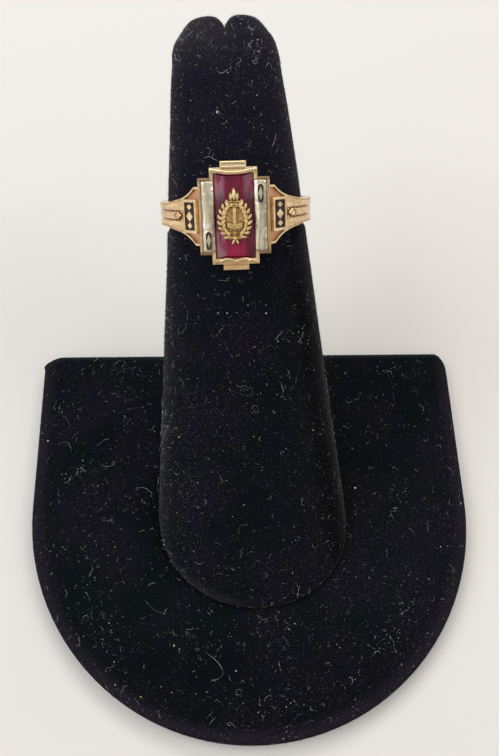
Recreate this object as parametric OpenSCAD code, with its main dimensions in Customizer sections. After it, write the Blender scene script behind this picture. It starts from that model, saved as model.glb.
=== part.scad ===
// Class ring with a long rectangular stone, worn by a leaning velvet finger stand.
// All sizes are in millimetres. X points right, Y points away from the viewer, Z points up.
// The origin is on the table, under the centre of the base's round front.

/* [Stand base] */
// Width of the base, which is also twice the radius of its round front
base_width = 64; // [56:1:84]
// Length of the straight sides behind the round front
base_straight = 24.3; // [18:0.1:36]
// Thickness of the velvet covered part of the base
base_thickness = 2; // [1.6:0.1:4]
// Rounding of the base's upper and lower edges
base_edge = 0.8; // [0.3:0.1:0.8]
// Radius of the two corners at the back
corner_radius = 1.6; // [1.2:0.1:6]
// Thickness of the backing board under the base
board_thickness = 0.5; // [0.3:0.1:1.2]
// Distance by which the board stays inside the base's outline
board_inset = 0.35; // [0.1:0.05:1]
// Gap between the board and the base
board_gap = 0.03; // [0.02:0.01:0.1]

/* [Stand finger] */
// Length of the finger's middle line, from the table to the tip
finger_length = 70.5; // [64:0.5:80]
// Lean of the finger away from the viewer, measured from upright
finger_lean = 50.8; // [44:0.4:56]
// Sideways sway of the finger, to the left
finger_sway = 3.3; // [0:0.1:5]
// Distance from the origin forward to where the middle line meets the table
foot_forward = 4.8; // [3:0.1:8]
// Distance from the origin to the right to where the middle line meets the table
foot_side = 0.16; // [0:0.02:1]
// Width of the finger at its foot
foot_width = 28.2; // [26:0.1:32]
// Depth of the finger at its foot, square to its middle line
foot_depth = 17.4; // [16:0.1:19]
// Width that the finger would have at its tip without the rounding
tip_width = 12; // [10:0.1:14]
// Depth that the finger would have at its tip without the rounding
tip_depth = 10.8; // [9:0.1:13]
// Height of the rounded tip
tip_height = 5; // [4:0.1:6.5]
// Share of the tip's width at which its two rounded crests lie
crest_share = 0.35; // [0.3:0.01:0.4]
// Sideways bend of the tip, to the left
tip_bend = 0.14; // [0:0.02:0.6]
// Depth of the cleft in the tip
cleft_depth = 1.5; // [0.4:0.1:2]
// Distance over which the cleft runs out
cleft_width = 0.63; // [0.5:0.01:1.2]
// Size of the rolled edge round the foot
foot_roll = 0.9; // [0.4:0.1:1.4]
// Gap between the foot and the base
foot_gap = 0.05; // [0.03:0.01:0.2]

/* [Ring shank] */
// Inner diameter of the ring
ring_bore = 17.3; // [16.5:0.1:18.2]
// Thickness of the shank
shank_thickness = 1; // [0.9:0.05:1.5]
// Width of the shank at its two sides
shank_side = 2.85; // [2.4:0.05:3.2]
// Width of the shank at its back
shank_back = 2.5; // [2:0.1:3]
// Gap between the shank and the velvet that it presses
seat_gap = 0.2; // [0.18:0.01:0.3]
// How much narrower than the bore the finger is where the ring stops
ring_slack = 0.04; // [0:0.01:0.1]
// Turn of the head round the finger, to the left
ring_spin = 2.9; // [0:0.1:5]
// Tilt of the ring on the finger
ring_tilt = 1.2; // [0:0.1:1.4]
// Sideways place of the ring's centre on the finger
ring_side = 0.12; // [0:0.01:0.14]
// Depth of the two grooves along each side of the shank
groove_depth = 0.11; // [0.08:0.01:0.25]
// Distance between the two grooves
groove_spacing = 1.04; // [0.8:0.02:1.1]

/* [Ring shoulders] */
// Width of the shoulders where they meet the head
shoulder_width = 6.9; // [6.2:0.1:7.6]
// Width of the shank where the shoulders end
shoulder_neck = 3.7; // [3.4:0.1:4]
// Length of the shoulders, seen from the front
shoulder_run = 2.8; // [2.5:0.05:3]
// Drop of the shoulders below the face of the head
shoulder_drop = 0.7; // [0.5:0.05:0.9]
// Width of the raised rims along the shoulders
rim_width = 0.24; // [0.2:0.01:0.45]
// Depth of the ground between the rims
rim_depth = 0.26; // [0.15:0.01:0.35]
// Half height of the sunk field round the lozenge
field_height = 0.62; // [0.56:0.02:0.8]
// Width of the two grooves beside the middle band that runs on from the field
field_groove = 0.2; // [0.16:0.01:0.3]
// Depth of the fine grooves along the shoulders' outline
edge_groove_depth = 0.1; // [0.06:0.01:0.14]

/* [Shoulder panels] */
// Width of a panel along the slope of the shoulder
panel_width = 2.65; // [2.2:0.05:2.7]
// Height of a panel
panel_height = 3.9; // [3.6:0.05:4.3]
// Distance of a panel's middle from the head along the slope
panel_place = 1.85; // [1.7:0.05:2]
// Width of the border of a panel
panel_border = 0.32; // [0.2:0.01:0.35]
// Height of the border above the slope
panel_rise = 0.12; // [0.05:0.01:0.2]
// Depth of the enamel's recess below the border
enamel_recess = 0.3; // [0.2:0.01:0.4]
// How far the enamel's surface lies below the border
enamel_drop = 0.08; // [0.03:0.01:0.12]
// Distance of the small lozenge from the head along the slope
lozenge_place = 4.4; // [4.2:0.05:4.6]

/* [Stone] */
// Width of the stone
stone_width = 4.62; // [4.2:0.02:5]
// Length of the stone
stone_length = 9.6; // [9.2:0.1:10.2]
// Height of the crown
crown_height = 0.45; // [0.3:0.05:0.6]
// Height of the girdle
girdle_height = 0.2; // [0.1:0.05:0.3]
// Depth of the underside
pavilion_depth = 1.15; // [0.9:0.05:1.3]
// Width of the bevels along the long sides
side_bevel = 1.2; // [0.9:0.05:1.4]
// Width of the bevels at the two ends
end_bevel = 0.3; // [0.25:0.05:1.2]
// Gap round every piece that is set in the casting
fit_gap = 0.04; // [0.03:0.01:0.06]

/* [Head] */
// Thickness of the metal under the stone
floor_wall = 0.7; // [0.5:0.05:1]
// Rise of the stone's table over the face of the head
table_rise = 0.2; // [0.1:0.05:0.3]
// Width of a side plate
plate_width = 1.42; // [1.2:0.02:1.6]
// Length of a side plate
plate_length = 8; // [7.6:0.1:8.4]
// Depth of a side plate's seat below the face of the head
plate_sink = 0.65; // [0.5:0.05:0.8]
// Rise of a side plate's edges over the face of the head
plate_rise = 0.05; // [0:0.01:0.12]
// Height of the arch over a side plate
plate_arch = 0.12; // [0.05:0.01:0.2]
// Width of the metal outside each side plate
side_wall = 0.3; // [0.25:0.01:0.4]
// Width of the metal past the ends of the side plates
end_frame = 0.31; // [0.25:0.01:0.45]
// Width of the metal beside the stone's ends
step_wall = 0.4; // [0.35:0.01:0.5]
// Width of the metal past the stone's ends
step_end = 0.64; // [0.55:0.01:0.75]
// Width of the outer end step
tab_width = 3; // [2.6:0.1:3.4]
// Length of the outer end step
tab_length = 0.68; // [0.6:0.02:0.8]
// Thickness of the bezel's upper tier
tier_height = 1.1; // [1:0.05:1.3]
// Step between the upper and the lower tier
tier_step = 0.3; // [0.15:0.01:0.4]
// Radius of the raised end bars
bar_radius = 0.22; // [0.18:0.01:0.26]

/* [Emblem] */
// Thickness of the emblem's ground
emblem_ground = 0.2; // [0.15:0.01:0.3]
// Height of the emblem's relief over its ground
emblem_relief = 0.36; // [0.25:0.01:0.45]
// Half width of the wreath along its stem
wreath_width = 1.5; // [1.4:0.02:1.6]
// Half height of the wreath along its stem
wreath_height = 2; // [1.8:0.02:2.2]
// Length of a leaf
leaf_length = 0.84; // [0.7:0.02:0.9]
// Width of a leaf
leaf_width = 0.42; // [0.34:0.02:0.46]

/* [Hidden] */
$fn = 64;

// Stand
base_radius = base_width / 2;
base_bottom = board_thickness + board_gap;
base_top = base_bottom + base_thickness;
finger_around = 56;
// Rows round the rolled foot: height and inset, as shares of foot_roll
FOOT_ROWS = [[0, 1], [0.16, 0.52], [0.45, 0.17], [1, 0]];
row_height = 0;
row_inset = 1;
LOW_ROWS = [0.12, 0.25, 0.38, 0.51, 0.64, 0.77, 0.9];
// Rows over the rounded tip: rise and spread, as shares of its height and of its width past the crest
DOME_ROWS = [[0, 1], [0.23, 0.957], [0.43, 0.885], [0.53, 0.805], [0.63, 0.714], [0.73, 0.628], [0.83, 0.532],
    [0.93, 0.395], [0.98, 0.25], [1, 0], [1, -0.18], [1, -0.34], [1, -0.46]];
row_rise = 0;
row_spread = 1;
width_fall = (foot_width - tip_width) / 2 / finger_length;

// Ring
bore_r = ring_bore / 2;
shank_r = bore_r + shank_thickness;
seat_r = bore_r - seat_gap;
ring_along = (foot_width / 2 - bore_r + ring_slack) / width_fall;

// Heights over the middle line of the finger hole
pocket_floor = bore_r + floor_wall;
keel_at = pocket_floor + fit_gap;
girdle_low = keel_at + pavilion_depth;
girdle_top = girdle_low + girdle_height;
table_at = girdle_top + crown_height;
face_at = table_at - table_rise;
tier_at = face_at - tier_height;
ledge_at = girdle_low - pavilion_depth * 0.32;

// Half sizes of the head, seen from the front
stone_x = stone_width / 2;
stone_z = stone_length / 2;
plate_in = stone_x + 1.5 * fit_gap;
plate_out = plate_in + plate_width;
head_x = plate_out + fit_gap + side_wall;
head_z = plate_length / 2 + fit_gap + end_frame;
step_x = stone_x + fit_gap + step_wall;
step_z = stone_z + fit_gap + step_end;
tab_x = tab_width / 2;
tab_z = step_z + tab_length;

// Shoulders, seen along the finger hole
slope_top = [head_x, -(face_at - shoulder_drop)];
slope_end_angle = 52.5;
slope_end = (shank_r - 0.04) * [sin(slope_end_angle), -cos(slope_end_angle)];
slope_angle = atan2(slope_end[1] - slope_top[1], slope_end[0] - slope_top[0]);
slope_length = norm(slope_end - slope_top);
neck_x = head_x + shoulder_run;
ground_end_x = shank_r * sin(slope_end_angle - 0.4);
panel_end_x = head_x + (panel_place + panel_width / 2) * cos(slope_angle);
lozenge_x = head_x + lozenge_place * cos(slope_angle);

// Panels
enamel_x = panel_width / 2 - panel_border;
enamel_z = panel_height / 2 - panel_border;

function smooth_step(t) = let (c = min(1, max(0, t))) c * c * (3 - 2 * c);

function mix(a, b, t) = a + (b - a) * t;

// Places

module on_finger() {
    translate([foot_side, -foot_forward, 0])
        rotate([-finger_lean, 0, 0])
            rotate([0, -finger_sway, 0])
                children();
}

module on_ring() {
    on_finger()
        translate([ring_side, 0, ring_along])
            rotate([0, 0, -ring_spin])
                rotate([0, ring_tilt, 0])
                    children();
}

// Lays a flat drawing on the head: its Y becomes the ring's Z and its height points outward
module on_head(height) {
    translate([0, -height, 0])
        rotate([90, 0, 0])
            children();
}

module on_slope(place) {
    translate([slope_top[0], slope_top[1], 0])
        rotate([0, 0, slope_angle])
            translate([place, 0, 0])
                rotate([90, 0, 0])
                    children();
}

module both_sides() {
    children();
    mirror([1, 0, 0])
        children();
}

// Flat drawings

module box_2d(half_x, half_y) {
    square([2 * half_x, 2 * half_y], center = true);
}

module lozenge_2d(half_x, half_y) {
    polygon([[-half_x, 0], [0, -half_y], [half_x, 0], [0, half_y]]);
}

module leaf_2d(length, width) {
    bow = (length * length / 4 + width * width / 4) / width;
    translate([length / 2, 0])
        intersection() {
            translate([0, bow - width / 2])
                circle(bow);
            translate([0, width / 2 - bow])
                circle(bow);
        }
}

module oval_2d(half_x, half_y) {
    box_2d(half_x, half_y - half_x);
    for (side = [-1, 1])
        translate([0, side * (half_y - half_x)])
            circle(half_x);
}

// Half of the ring's outline seen from the front: a concave shoulder that runs into the shank
module taper_2d(inset) {
    top_z = shoulder_width / 2 - inset;
    neck_z = shoulder_neck / 2 - inset;
    side_z = shank_side / 2 - inset;
    start = [head_x + 0.6, top_z - 0.1];
    neck = [neck_x, neck_z];
    fall = [bore_r - 0.1 - neck_x, side_z - neck_z];
    up = [-fall[1], fall[0]] / norm(fall);
    chord = start - neck;
    hollow_r = chord * chord / (2 * (up * chord));
    centre = neck + hollow_r * up;
    difference() {
        polygon([[0, 0], [0, top_z], start, centre, neck, neck + fall, [shank_r + 0.1, side_z], [shank_r + 0.1, 0]]);
        translate(centre)
            circle(hollow_r, $fn = 96);
    }
}

module front_outline_2d(inset) {
    for (flip = [0, 1])
        mirror([0, flip])
            translate([0, -0.001])
                taper_2d(inset);
}

module back_outline_2d() {
    side_z = shank_side / 2;
    back_z = shank_back / 2;
    polygon([[0, -back_z], [bore_r - 0.1, -side_z], [shank_r + 0.1, -side_z], [shank_r + 0.1, side_z],
        [bore_r - 0.1, side_z], [0, back_z]]);
}

// The ring's outer outline seen along the finger hole; lower drops the shoulders' slope
module side_outline_2d(lower) {
    circle(shank_r - lower, $fn = 128);
    drop = lower / cos(slope_angle);
    polygon([[-slope_top[0], slope_top[1] + drop], [slope_top[0], slope_top[1] + drop],
        [slope_end[0], slope_end[1] + drop], [0, 0], [-slope_end[0], slope_end[1] + drop]]);
}

module stepped_2d(inset) {
    box_2d(head_x - inset, head_z - inset);
    box_2d(step_x - inset, step_z - inset);
    box_2d(tab_x - inset, tab_z - inset);
}

module base_outline_2d(inset) {
    side = base_radius - inset;
    back = base_straight - inset;
    corner = corner_radius;
    intersection() {
        circle(side, $fn = 128);
        translate([-side, -side])
            square([2 * side, side]);
    }
    translate([-side, 0])
        square([2 * side, back - corner]);
    translate([corner - side, 0])
        square([2 * (side - corner), back]);
    for (flip = [-1, 1])
        translate([flip * (side - corner), back - corner])
            circle(corner);
}

// Ring casting

module shank_blank() {
    intersection() {
        linear_extrude(height = shoulder_width + 1, center = true)
            difference() {
                side_outline_2d(0);
                circle(bore_r, $fn = 128);
            }
        union() {
            both_sides()
                on_head(0)
                    linear_extrude(height = face_at)
                        front_outline_2d(0);
            both_sides()
                on_head(-shank_r - 1)
                    linear_extrude(height = shank_r + 1.001)
                        back_outline_2d();
        }
    }
}

// Seen from the front: the raised band between the two grooves, notched towards the lozenge
module middle_band_2d() {
    half = field_height - field_groove;
    tail = lozenge_x + 0.6 * cos(slope_angle);
    polygon([[tail, half], [tail + 0.25, 0], [tail, -half], [shank_r, -half], [shank_r, half]]);
}

// Seen from the front: the sunk ground beside the panel, and the narrower field and grooves that run on from it
module ground_2d() {
    intersection() {
        front_outline_2d(rim_width);
        union() {
            translate([head_x - 0.5, -shoulder_width])
                square([panel_end_x - head_x + 0.5, 2 * shoulder_width]);
            difference() {
                translate([panel_end_x - 0.1, -field_height])
                    square([ground_end_x - panel_end_x + 0.1, 2 * field_height]);
                middle_band_2d();
            }
        }
    }
}

// Seen from the front: the two fine grooves that follow the shoulder's outline past the panel
module edge_groove_2d() {
    intersection() {
        difference() {
            front_outline_2d(rim_width * 0.5);
            front_outline_2d(rim_width * 0.5 + 0.1);
        }
        translate([panel_end_x + 0.2, -shoulder_width])
            square([shank_r - panel_end_x, 2 * shoulder_width]);
    }
}

module shoulder_ground() {
    difference() {
        on_head(0.5)
            linear_extrude(height = face_at)
                ground_2d();
        linear_extrude(height = shoulder_width + 2, center = true)
            side_outline_2d(rim_depth);
    }
    difference() {
        on_head(0.5)
            linear_extrude(height = face_at)
                edge_groove_2d();
        linear_extrude(height = shoulder_width + 2, center = true)
            side_outline_2d(edge_groove_depth);
    }
}

module panel_motif_2d(grow) {
    lozenge_2d(0.66 * enamel_x + 1.3 * grow, 0.37 * enamel_z + 1.4 * grow);
    for (side = [-1, 1])
        translate([0, side * 0.66 * enamel_z])
            lozenge_2d(0.48 * enamel_x + 1.3 * grow, 0.22 * enamel_z + 1.3 * grow);
}

module panel_frame() {
    on_slope(panel_place)
        translate([0, 0, -rim_depth - 0.2])
            linear_extrude(height = rim_depth + 0.2 + panel_rise)
                box_2d(panel_width / 2, panel_height / 2);
}

module panel_recess() {
    on_slope(panel_place)
        translate([0, 0, panel_rise - enamel_recess])
            linear_extrude(height = 1)
                difference() {
                    box_2d(enamel_x, enamel_z);
                    panel_motif_2d(0);
                }
}

// A lozenge in the field between the panel and the shank
module shoulder_relief() {
    on_slope(lozenge_place)
        translate([0, 0, -rim_depth - 0.2])
            linear_extrude(height = rim_depth + 0.3)
                lozenge_2d(0.72, 0.8 * field_height);
}

module shank_grooves() {
    both_sides()
        for (side = [-1, 1])
            rotate([0, 0, slope_end_angle - 90 + 0.8])
                rotate_extrude(angle = 62)
                    translate([shank_r + 0.05, side * groove_spacing / 2])
                        circle(groove_depth + 0.05, $fn = 24);
}

module head_block() {
    on_head(tier_at)
        linear_extrude(height = face_at - tier_at)
            stepped_2d(0);
    difference() {
        on_head(bore_r * 0.8)
            linear_extrude(height = tier_at - bore_r * 0.8 + 0.1)
                stepped_2d(tier_step);
        cylinder(h = 4 * tab_z, r = bore_r, center = true, $fn = 128);
        end_undercuts();
    }
}

module straight_bar(from, to, radius, height) {
    run = to - from;
    on_head(height)
        translate([from[0], from[1], 0])
            rotate([0, 0, atan2(run[1], run[0])])
                rotate([0, 90, 0])
                    cylinder(h = norm(run), r = radius, $fn = 32);
}

// A bar bent along a circle round the given centre, from one angle to another
module bent_bar(centre, bend, from, to, radius, height) {
    on_head(height)
        translate([centre[0], centre[1], 0])
            rotate([0, 0, from])
                rotate_extrude(angle = to - from, $fn = 96)
                    translate([bend, 0])
                        circle(radius, $fn = 32);
}

module bar_knob(place, radius, height) {
    on_head(height)
        translate([place[0], place[1], 0])
            sphere(radius, $fn = 32);
}

module top_bars() {
    bar_at = face_at + bar_radius * 0.75;
    bow_low = stone_z + 0.05;
    bow_rise = 0.37;
    half = step_x - bar_radius - 0.08;
    bend = (half * half + bow_rise * bow_rise) / (2 * bow_rise);
    reach = asin(half / bend);
    bent_bar([0, bow_low + bend], bend, -90 - reach, -90 + reach, bar_radius, bar_at);
    for (side = [-1, 1])
        bar_knob([side * half, bow_low + bow_rise], bar_radius + 0.05, bar_at);
    straight_bar([-tab_x + 0.12, tab_z - 0.17], [tab_x - 0.12, tab_z - 0.17], 0.15, face_at);
    straight_bar([-tab_x + 0.12, step_z + 0.02], [tab_x - 0.12, step_z + 0.02], 0.17, face_at);
}

module bottom_bars() {
    bar_at = face_at + bar_radius * 0.75;
    crest = stone_z + 0.12;
    hump_x = 0.98;
    bend = 1.6;
    inner = 90 + asin(hump_x / bend);
    outer = 90 - asin(0.66 / bend);
    curl = [hump_x + bend * cos(outer), -crest - bend + bend * sin(outer)];
    both_sides() {
        bent_bar([hump_x, -crest - bend], bend, outer, inner, bar_radius, bar_at);
        bar_knob(curl, bar_radius + 0.05, bar_at);
        straight_bar([curl[0] + 0.14, curl[1] - 0.02], [step_x - 0.2, -step_z + 0.2], 0.17, face_at);
    }
    on_head(face_at - 0.1)
        linear_extrude(height = 0.26)
            translate([0, -tab_z + 0.29])
                box_2d(tab_x - 0.1, 0.23);
    for (side = [-1, 1])
        bar_knob([side * (tab_x - 0.42), -tab_z + 0.29], 0.14, face_at + 0.12);
}

module side_rims() {
    for (side = [-1, 1]) {
        straight_bar([side * (head_x - side_wall * 0.62), -head_z + 0.16],
            [side * (head_x - side_wall * 0.62), head_z - 0.16], 0.09, face_at + 0.01);
        for (end = [-1, 1])
            straight_bar([side * (step_x + 0.1), end * (head_z - end_frame * 0.45)],
                [side * (head_x - 0.12), end * (head_z - end_frame * 0.45)], 0.1, face_at);
    }
}

module stone_pocket() {
    on_head(ledge_at)
        linear_extrude(height = 3)
            box_2d(stone_x + fit_gap, stone_z + fit_gap);
    on_head(pocket_floor)
        linear_extrude(height = ledge_at - pocket_floor + 0.1)
            box_2d(stone_x * 0.88, stone_z * 0.88);
}

module plate_pockets() {
    for (side = [-1, 1])
        on_head(face_at - plate_sink)
            linear_extrude(height = 1)
                translate([side * (stone_x + plate_out + fit_gap) / 2, 0])
                    box_2d((plate_out + fit_gap - stone_x) / 2, plate_length / 2 + fit_gap);
}

// Clears the velvet under the two ends of the head
module end_undercuts() {
    for (side = [-1, 1])
        translate([0, 0, side * (head_z + 0.1) + (side < 0 ? -3 : 0)])
            cylinder(h = 3, r = bore_r + 0.5, $fn = 128);
}

module ring_casting() {
    color("goldenrod")
        on_ring() {
            difference() {
                union() {
                    shank_blank();
                    head_block();
                }
                both_sides()
                    shoulder_ground();
                stone_pocket();
                plate_pockets();
                shank_grooves();
            }
            both_sides() {
                difference() {
                    panel_frame();
                    panel_recess();
                }
                shoulder_relief();
            }
            top_bars();
            bottom_bars();
            side_rims();
        }
}

// Pieces set in the casting

module side_plate(cartouche_at) {
    seat = face_at - plate_sink + fit_gap;
    edge = face_at + plate_rise;
    arch_r = (plate_width * plate_width / 4 + plate_arch * plate_arch) / (2 * plate_arch);
    difference() {
        union() {
            intersection() {
                on_head(seat)
                    linear_extrude(height = edge + plate_arch - seat + 0.1)
                        box_2d(plate_width / 2, plate_length / 2);
                translate([0, -(edge + plate_arch - arch_r), 0])
                    cylinder(h = plate_length + 1, r = arch_r, center = true, $fn = 96);
            }
            on_head(edge)
                linear_extrude(height = plate_arch + 0.05)
                    translate([0, cartouche_at])
                        oval_2d(0.42, 1.15);
        }
        on_head(edge - 0.02)
            linear_extrude(height = 1)
                translate([0, cartouche_at])
                    difference() {
                        oval_2d(0.3, 1.03);
                        lozenge_2d(0.2, 0.66);
                    }
    }
}

module side_plate_left() {
    color("gainsboro")
        on_ring()
            translate([-(plate_in + plate_width / 2), 0, 0])
                side_plate(-0.34 * plate_length);
}

module side_plate_right() {
    color("gainsboro")
        on_ring()
            translate([plate_in + plate_width / 2, 0, 0])
                side_plate(0.31 * plate_length);
}

// A four sided slab whose upper and lower outlines differ, as flat facets
module facet_slab(low, high, low_half, high_half) {
    corner = [[-1, -1], [1, -1], [1, 1], [-1, 1]];
    points = concat([for (c = corner) [c[0] * low_half[0], -low, c[1] * low_half[1]]],
        [for (c = corner) [c[0] * high_half[0], -high, c[1] * high_half[1]]]);
    polyhedron(points, [[0, 1, 2, 3], [7, 6, 5, 4], [4, 5, 1, 0], [5, 6, 2, 1], [6, 7, 3, 2], [7, 4, 0, 3]]);
}

module stone() {
    mid = [stone_x * 0.77, stone_z * 0.78];
    keel = [stone_x * 0.38, stone_z * 0.6];
    mid_at = mix(girdle_low, keel_at, 0.5);
    shelf = [stone_x - side_bevel * 0.4, stone_z - end_bevel * 0.45];
    shelf_at = mix(girdle_top, table_at, 0.52);
    color("crimson")
        on_ring() {
            facet_slab(keel_at, mid_at, keel, mid);
            facet_slab(mid_at, girdle_low, mid, [stone_x, stone_z]);
            facet_slab(girdle_low, girdle_top, [stone_x, stone_z], [stone_x, stone_z]);
            facet_slab(girdle_top, shelf_at, [stone_x, stone_z], shelf);
            facet_slab(shelf_at, table_at, shelf, [stone_x - side_bevel, stone_z - end_bevel]);
        }
}

function wreath_point(t) = [wreath_width * sin(t), wreath_height * -cos(t) - 0.42];

function wreath_aim(t) = atan2(wreath_height * sin(t), wreath_width * cos(t));

// Half of the wreath's stem, from the bow at the bottom up to the open top
module stem_2d() {
    stops = [for (t = [-4:8:140]) t];
    outer = [for (t = stops) wreath_point(t) * 1.0 + 0.1 * [cos(wreath_aim(t) - 90), sin(wreath_aim(t) - 90)]];
    inner = [for (t = stops) wreath_point(t) * 1.0 - 0.1 * [cos(wreath_aim(t) - 90), sin(wreath_aim(t) - 90)]];
    count = len(stops);
    polygon(concat(outer, [for (i = [count - 1:-1:0]) inner[i]]));
}

module wreath_half() {
    linear_extrude(height = emblem_relief * 0.6)
        stem_2d();
    for (t = [22:17:141]) {
        for (side = [-1, 1])
            translate(wreath_point(t))
                rotate([0, 0, wreath_aim(t) + side * 34])
                    linear_extrude(height = emblem_relief * (side > 0 ? 0.85 : 0.7))
                        leaf_2d(leaf_length, leaf_width);
    }
    translate(wreath_point(139))
        rotate([0, 0, wreath_aim(139)])
            linear_extrude(height = emblem_relief)
                leaf_2d(leaf_length, leaf_width);
}

module torch() {
    cup_at = 1.15;
    linear_extrude(height = emblem_relief)
        polygon([[-0.14, -2.3], [0.14, -2.3], [0.3, cup_at], [-0.3, cup_at]]);
    linear_extrude(height = emblem_relief + 0.06)
        polygon([[-0.3, cup_at], [0.3, cup_at], [0.66, cup_at + 0.5], [-0.66, cup_at + 0.5]]);
    for (band = [[0.36, cup_at], [0.72, cup_at + 0.56], [0.3, -1.75]])
        linear_extrude(height = emblem_relief + 0.12)
            translate([0, band[1]])
                box_2d(band[0], 0.09);
    flame_at = cup_at + 0.5;
    linear_extrude(height = emblem_relief + 0.12)
        translate([0, flame_at])
            rotate([0, 0, 90])
                leaf_2d(1.62, 0.62);
    for (side = [-1, 1])
        linear_extrude(height = emblem_relief)
            translate([side * 0.3, flame_at])
                rotate([0, 0, 90 - side * 4])
                    leaf_2d(1.02, 0.42);
}

module ribbon_bow() {
    bow_at = -wreath_height - 0.42;
    linear_extrude(height = emblem_relief + 0.1)
        translate([0, bow_at])
            circle(0.26, $fn = 32);
    both_sides() {
        linear_extrude(height = emblem_relief)
            translate([0.1, bow_at])
                rotate([0, 0, 8])
                    leaf_2d(0.8, 0.42);
        linear_extrude(height = emblem_relief * 0.8)
            translate([0.02, bow_at - 0.04])
                rotate([0, 0, -62])
                    leaf_2d(0.82, 0.34);
    }
}

// An open book laid across the torch
module open_book_2d() {
    polygon([[-0.92, -0.62], [0, -0.84], [0.92, -0.62], [0.92, -1.24], [0, -1.46], [-0.92, -1.24]]);
}

// The low ground that joins the torch and the wreath, with six small openings
module emblem_ground_2d() {
    difference() {
        polygon([for (t = [-140:8:140]) wreath_point(t)]);
        for (side = [-1, 1])
            for (spot = [[0.74, 0.5, 0.2], [0.86, -0.3, 0.2], [0.72, -1.1, 0.18]])
                translate([side * spot[0], spot[1]])
                    circle(spot[2], $fn = 24);
    }
    translate([0, 1.2])
        box_2d(0.3, 0.9);
}

module emblem() {
    color("gold")
        on_ring()
            on_head(table_at + fit_gap) {
                linear_extrude(height = emblem_ground)
                    emblem_ground_2d();
                translate([0, 0, emblem_ground - 0.05]) {
                    both_sides()
                        wreath_half();
                    torch();
                    ribbon_bow();
                    linear_extrude(height = emblem_relief + 0.12)
                        open_book_2d();
                }
            }
}

module enamel_plate() {
    on_slope(panel_place)
        translate([0, 0, panel_rise - enamel_recess + fit_gap])
            linear_extrude(height = enamel_recess - enamel_drop - fit_gap)
                difference() {
                    box_2d(enamel_x - fit_gap, enamel_z - fit_gap);
                    panel_motif_2d(fit_gap);
                }
}

module enamel_left() {
    color("black")
        on_ring()
            mirror([1, 0, 0])
                enamel_plate();
}

module enamel_right() {
    color("black")
        on_ring()
            enamel_plate();
}

// Stand

function finger_half_width(u) = foot_width / 2 - width_fall * u;

function finger_half_depth(u) = u < ring_along
    ? mix(foot_depth / 2, bore_r - ring_slack, u / ring_along)
    : mix(bore_r - ring_slack, tip_depth / 2, (u - ring_along) / (finger_length - ring_along));

// How far along the finger the ring presses it, by the angle from the head
function press_reach(angle) = let (away = min(angle, 360 - angle))
    mix(shank_side / 2 + 0.2, head_z + 0.25, smooth_step((64 - away) / 34));

function press_limit(u, angle) = seat_r + 0.5 * max(0, abs(u - ring_along) - press_reach(angle));

function finger_side(u, angle, inset) = let (
        flat = [(finger_half_width(u) - inset) * sin(angle), -(finger_half_depth(u) - inset) * cos(angle)],
        share = min(1, press_limit(u, angle) / norm(flat)))
    [flat[0] * share, flat[1] * share, u];

// How far up the finger a row round the foot lies, so that the whole row is level with the base
function foot_start(row, angle) = let (
        up = [cos(finger_lean) * sin(finger_sway), -sin(finger_lean), cos(finger_lean) * cos(finger_sway)],
        depth_fall = (foot_depth / 2 - bore_r + ring_slack) / ring_along,
        wide = foot_width / 2 - foot_roll * row[row_inset],
        deep = foot_depth / 2 - foot_roll * row[row_inset],
        level = base_top + foot_gap + foot_roll * row[row_height])
    (level - up[0] * wide * sin(angle) + up[1] * deep * cos(angle))
        / (up[2] - up[0] * width_fall * sin(angle) + up[1] * depth_fall * cos(angle));

function foot_point(row, angle) = finger_side(foot_start(row, angle), angle, foot_roll * row[row_inset]);

function low_point(share, angle) = let (
        start = foot_start(FOOT_ROWS[len(FOOT_ROWS) - 1], angle))
    finger_side(mix(start, ring_along - head_z - 0.25, share), angle, 0);

function dome_point(row, angle) = let (
        base = finger_side(finger_length - tip_height, angle, 0),
        share = crest_share + row[row_spread] * (row[row_spread] < 0 ? crest_share * 2 : 1 - crest_share),
        x = base[0] * share,
        cleft = cleft_depth * exp(-abs(x) / cleft_width) * pow(row[row_rise], 2))
    [x - tip_bend * min(1, row[row_rise] * 4), base[1] * share,
        finger_length - tip_height * (1 - row[row_rise]) - cleft];

module stand_finger() {
    reach_in = shank_side / 2 + 0.2;
    reach_out = head_z + 0.25;
    ring_rows = [for (side = [-1, 1]) for (i = [0:4])
        ring_along + side * mix(reach_in, reach_out, side < 0 ? 1 - i / 4 : i / 4)];
    dome_at = finger_length - tip_height;
    high_rows = [for (share = [0.3, 0.6, 0.85]) mix(ring_along + reach_out, dome_at, share)];
    angles = [for (k = [0:finger_around - 1]) 360 * k / finger_around];
    points = concat([for (row = FOOT_ROWS) for (angle = angles) foot_point(row, angle)],
        [for (share = LOW_ROWS) for (angle = angles) low_point(share, angle)],
        [for (u = concat(ring_rows, high_rows)) for (angle = angles) finger_side(u, angle, 0)],
        [for (row = DOME_ROWS) for (angle = angles) dome_point(row, angle)],
        [[-tip_bend, 0, finger_length - cleft_depth]]);
    rows = len(FOOT_ROWS) + len(LOW_ROWS) + len(ring_rows) + len(high_rows) + len(DOME_ROWS);
    last = len(points) - 1;
    top = (rows - 1) * finger_around;
    sides = [for (r = [0:rows - 2]) for (k = [0:finger_around - 1]) let (
            a = r * finger_around + k,
            b = r * finger_around + (k + 1) % finger_around)
        each [[a, a + finger_around, b], [b, a + finger_around, b + finger_around]]];
    cap = [for (k = [0:finger_around - 1]) [top + k, last, top + (k + 1) % finger_around]];
    floor = [[for (k = [0:finger_around - 1]) k]];
    color("dimgray")
        on_finger()
            polyhedron(points, concat(floor, sides, cap));
}

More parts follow.
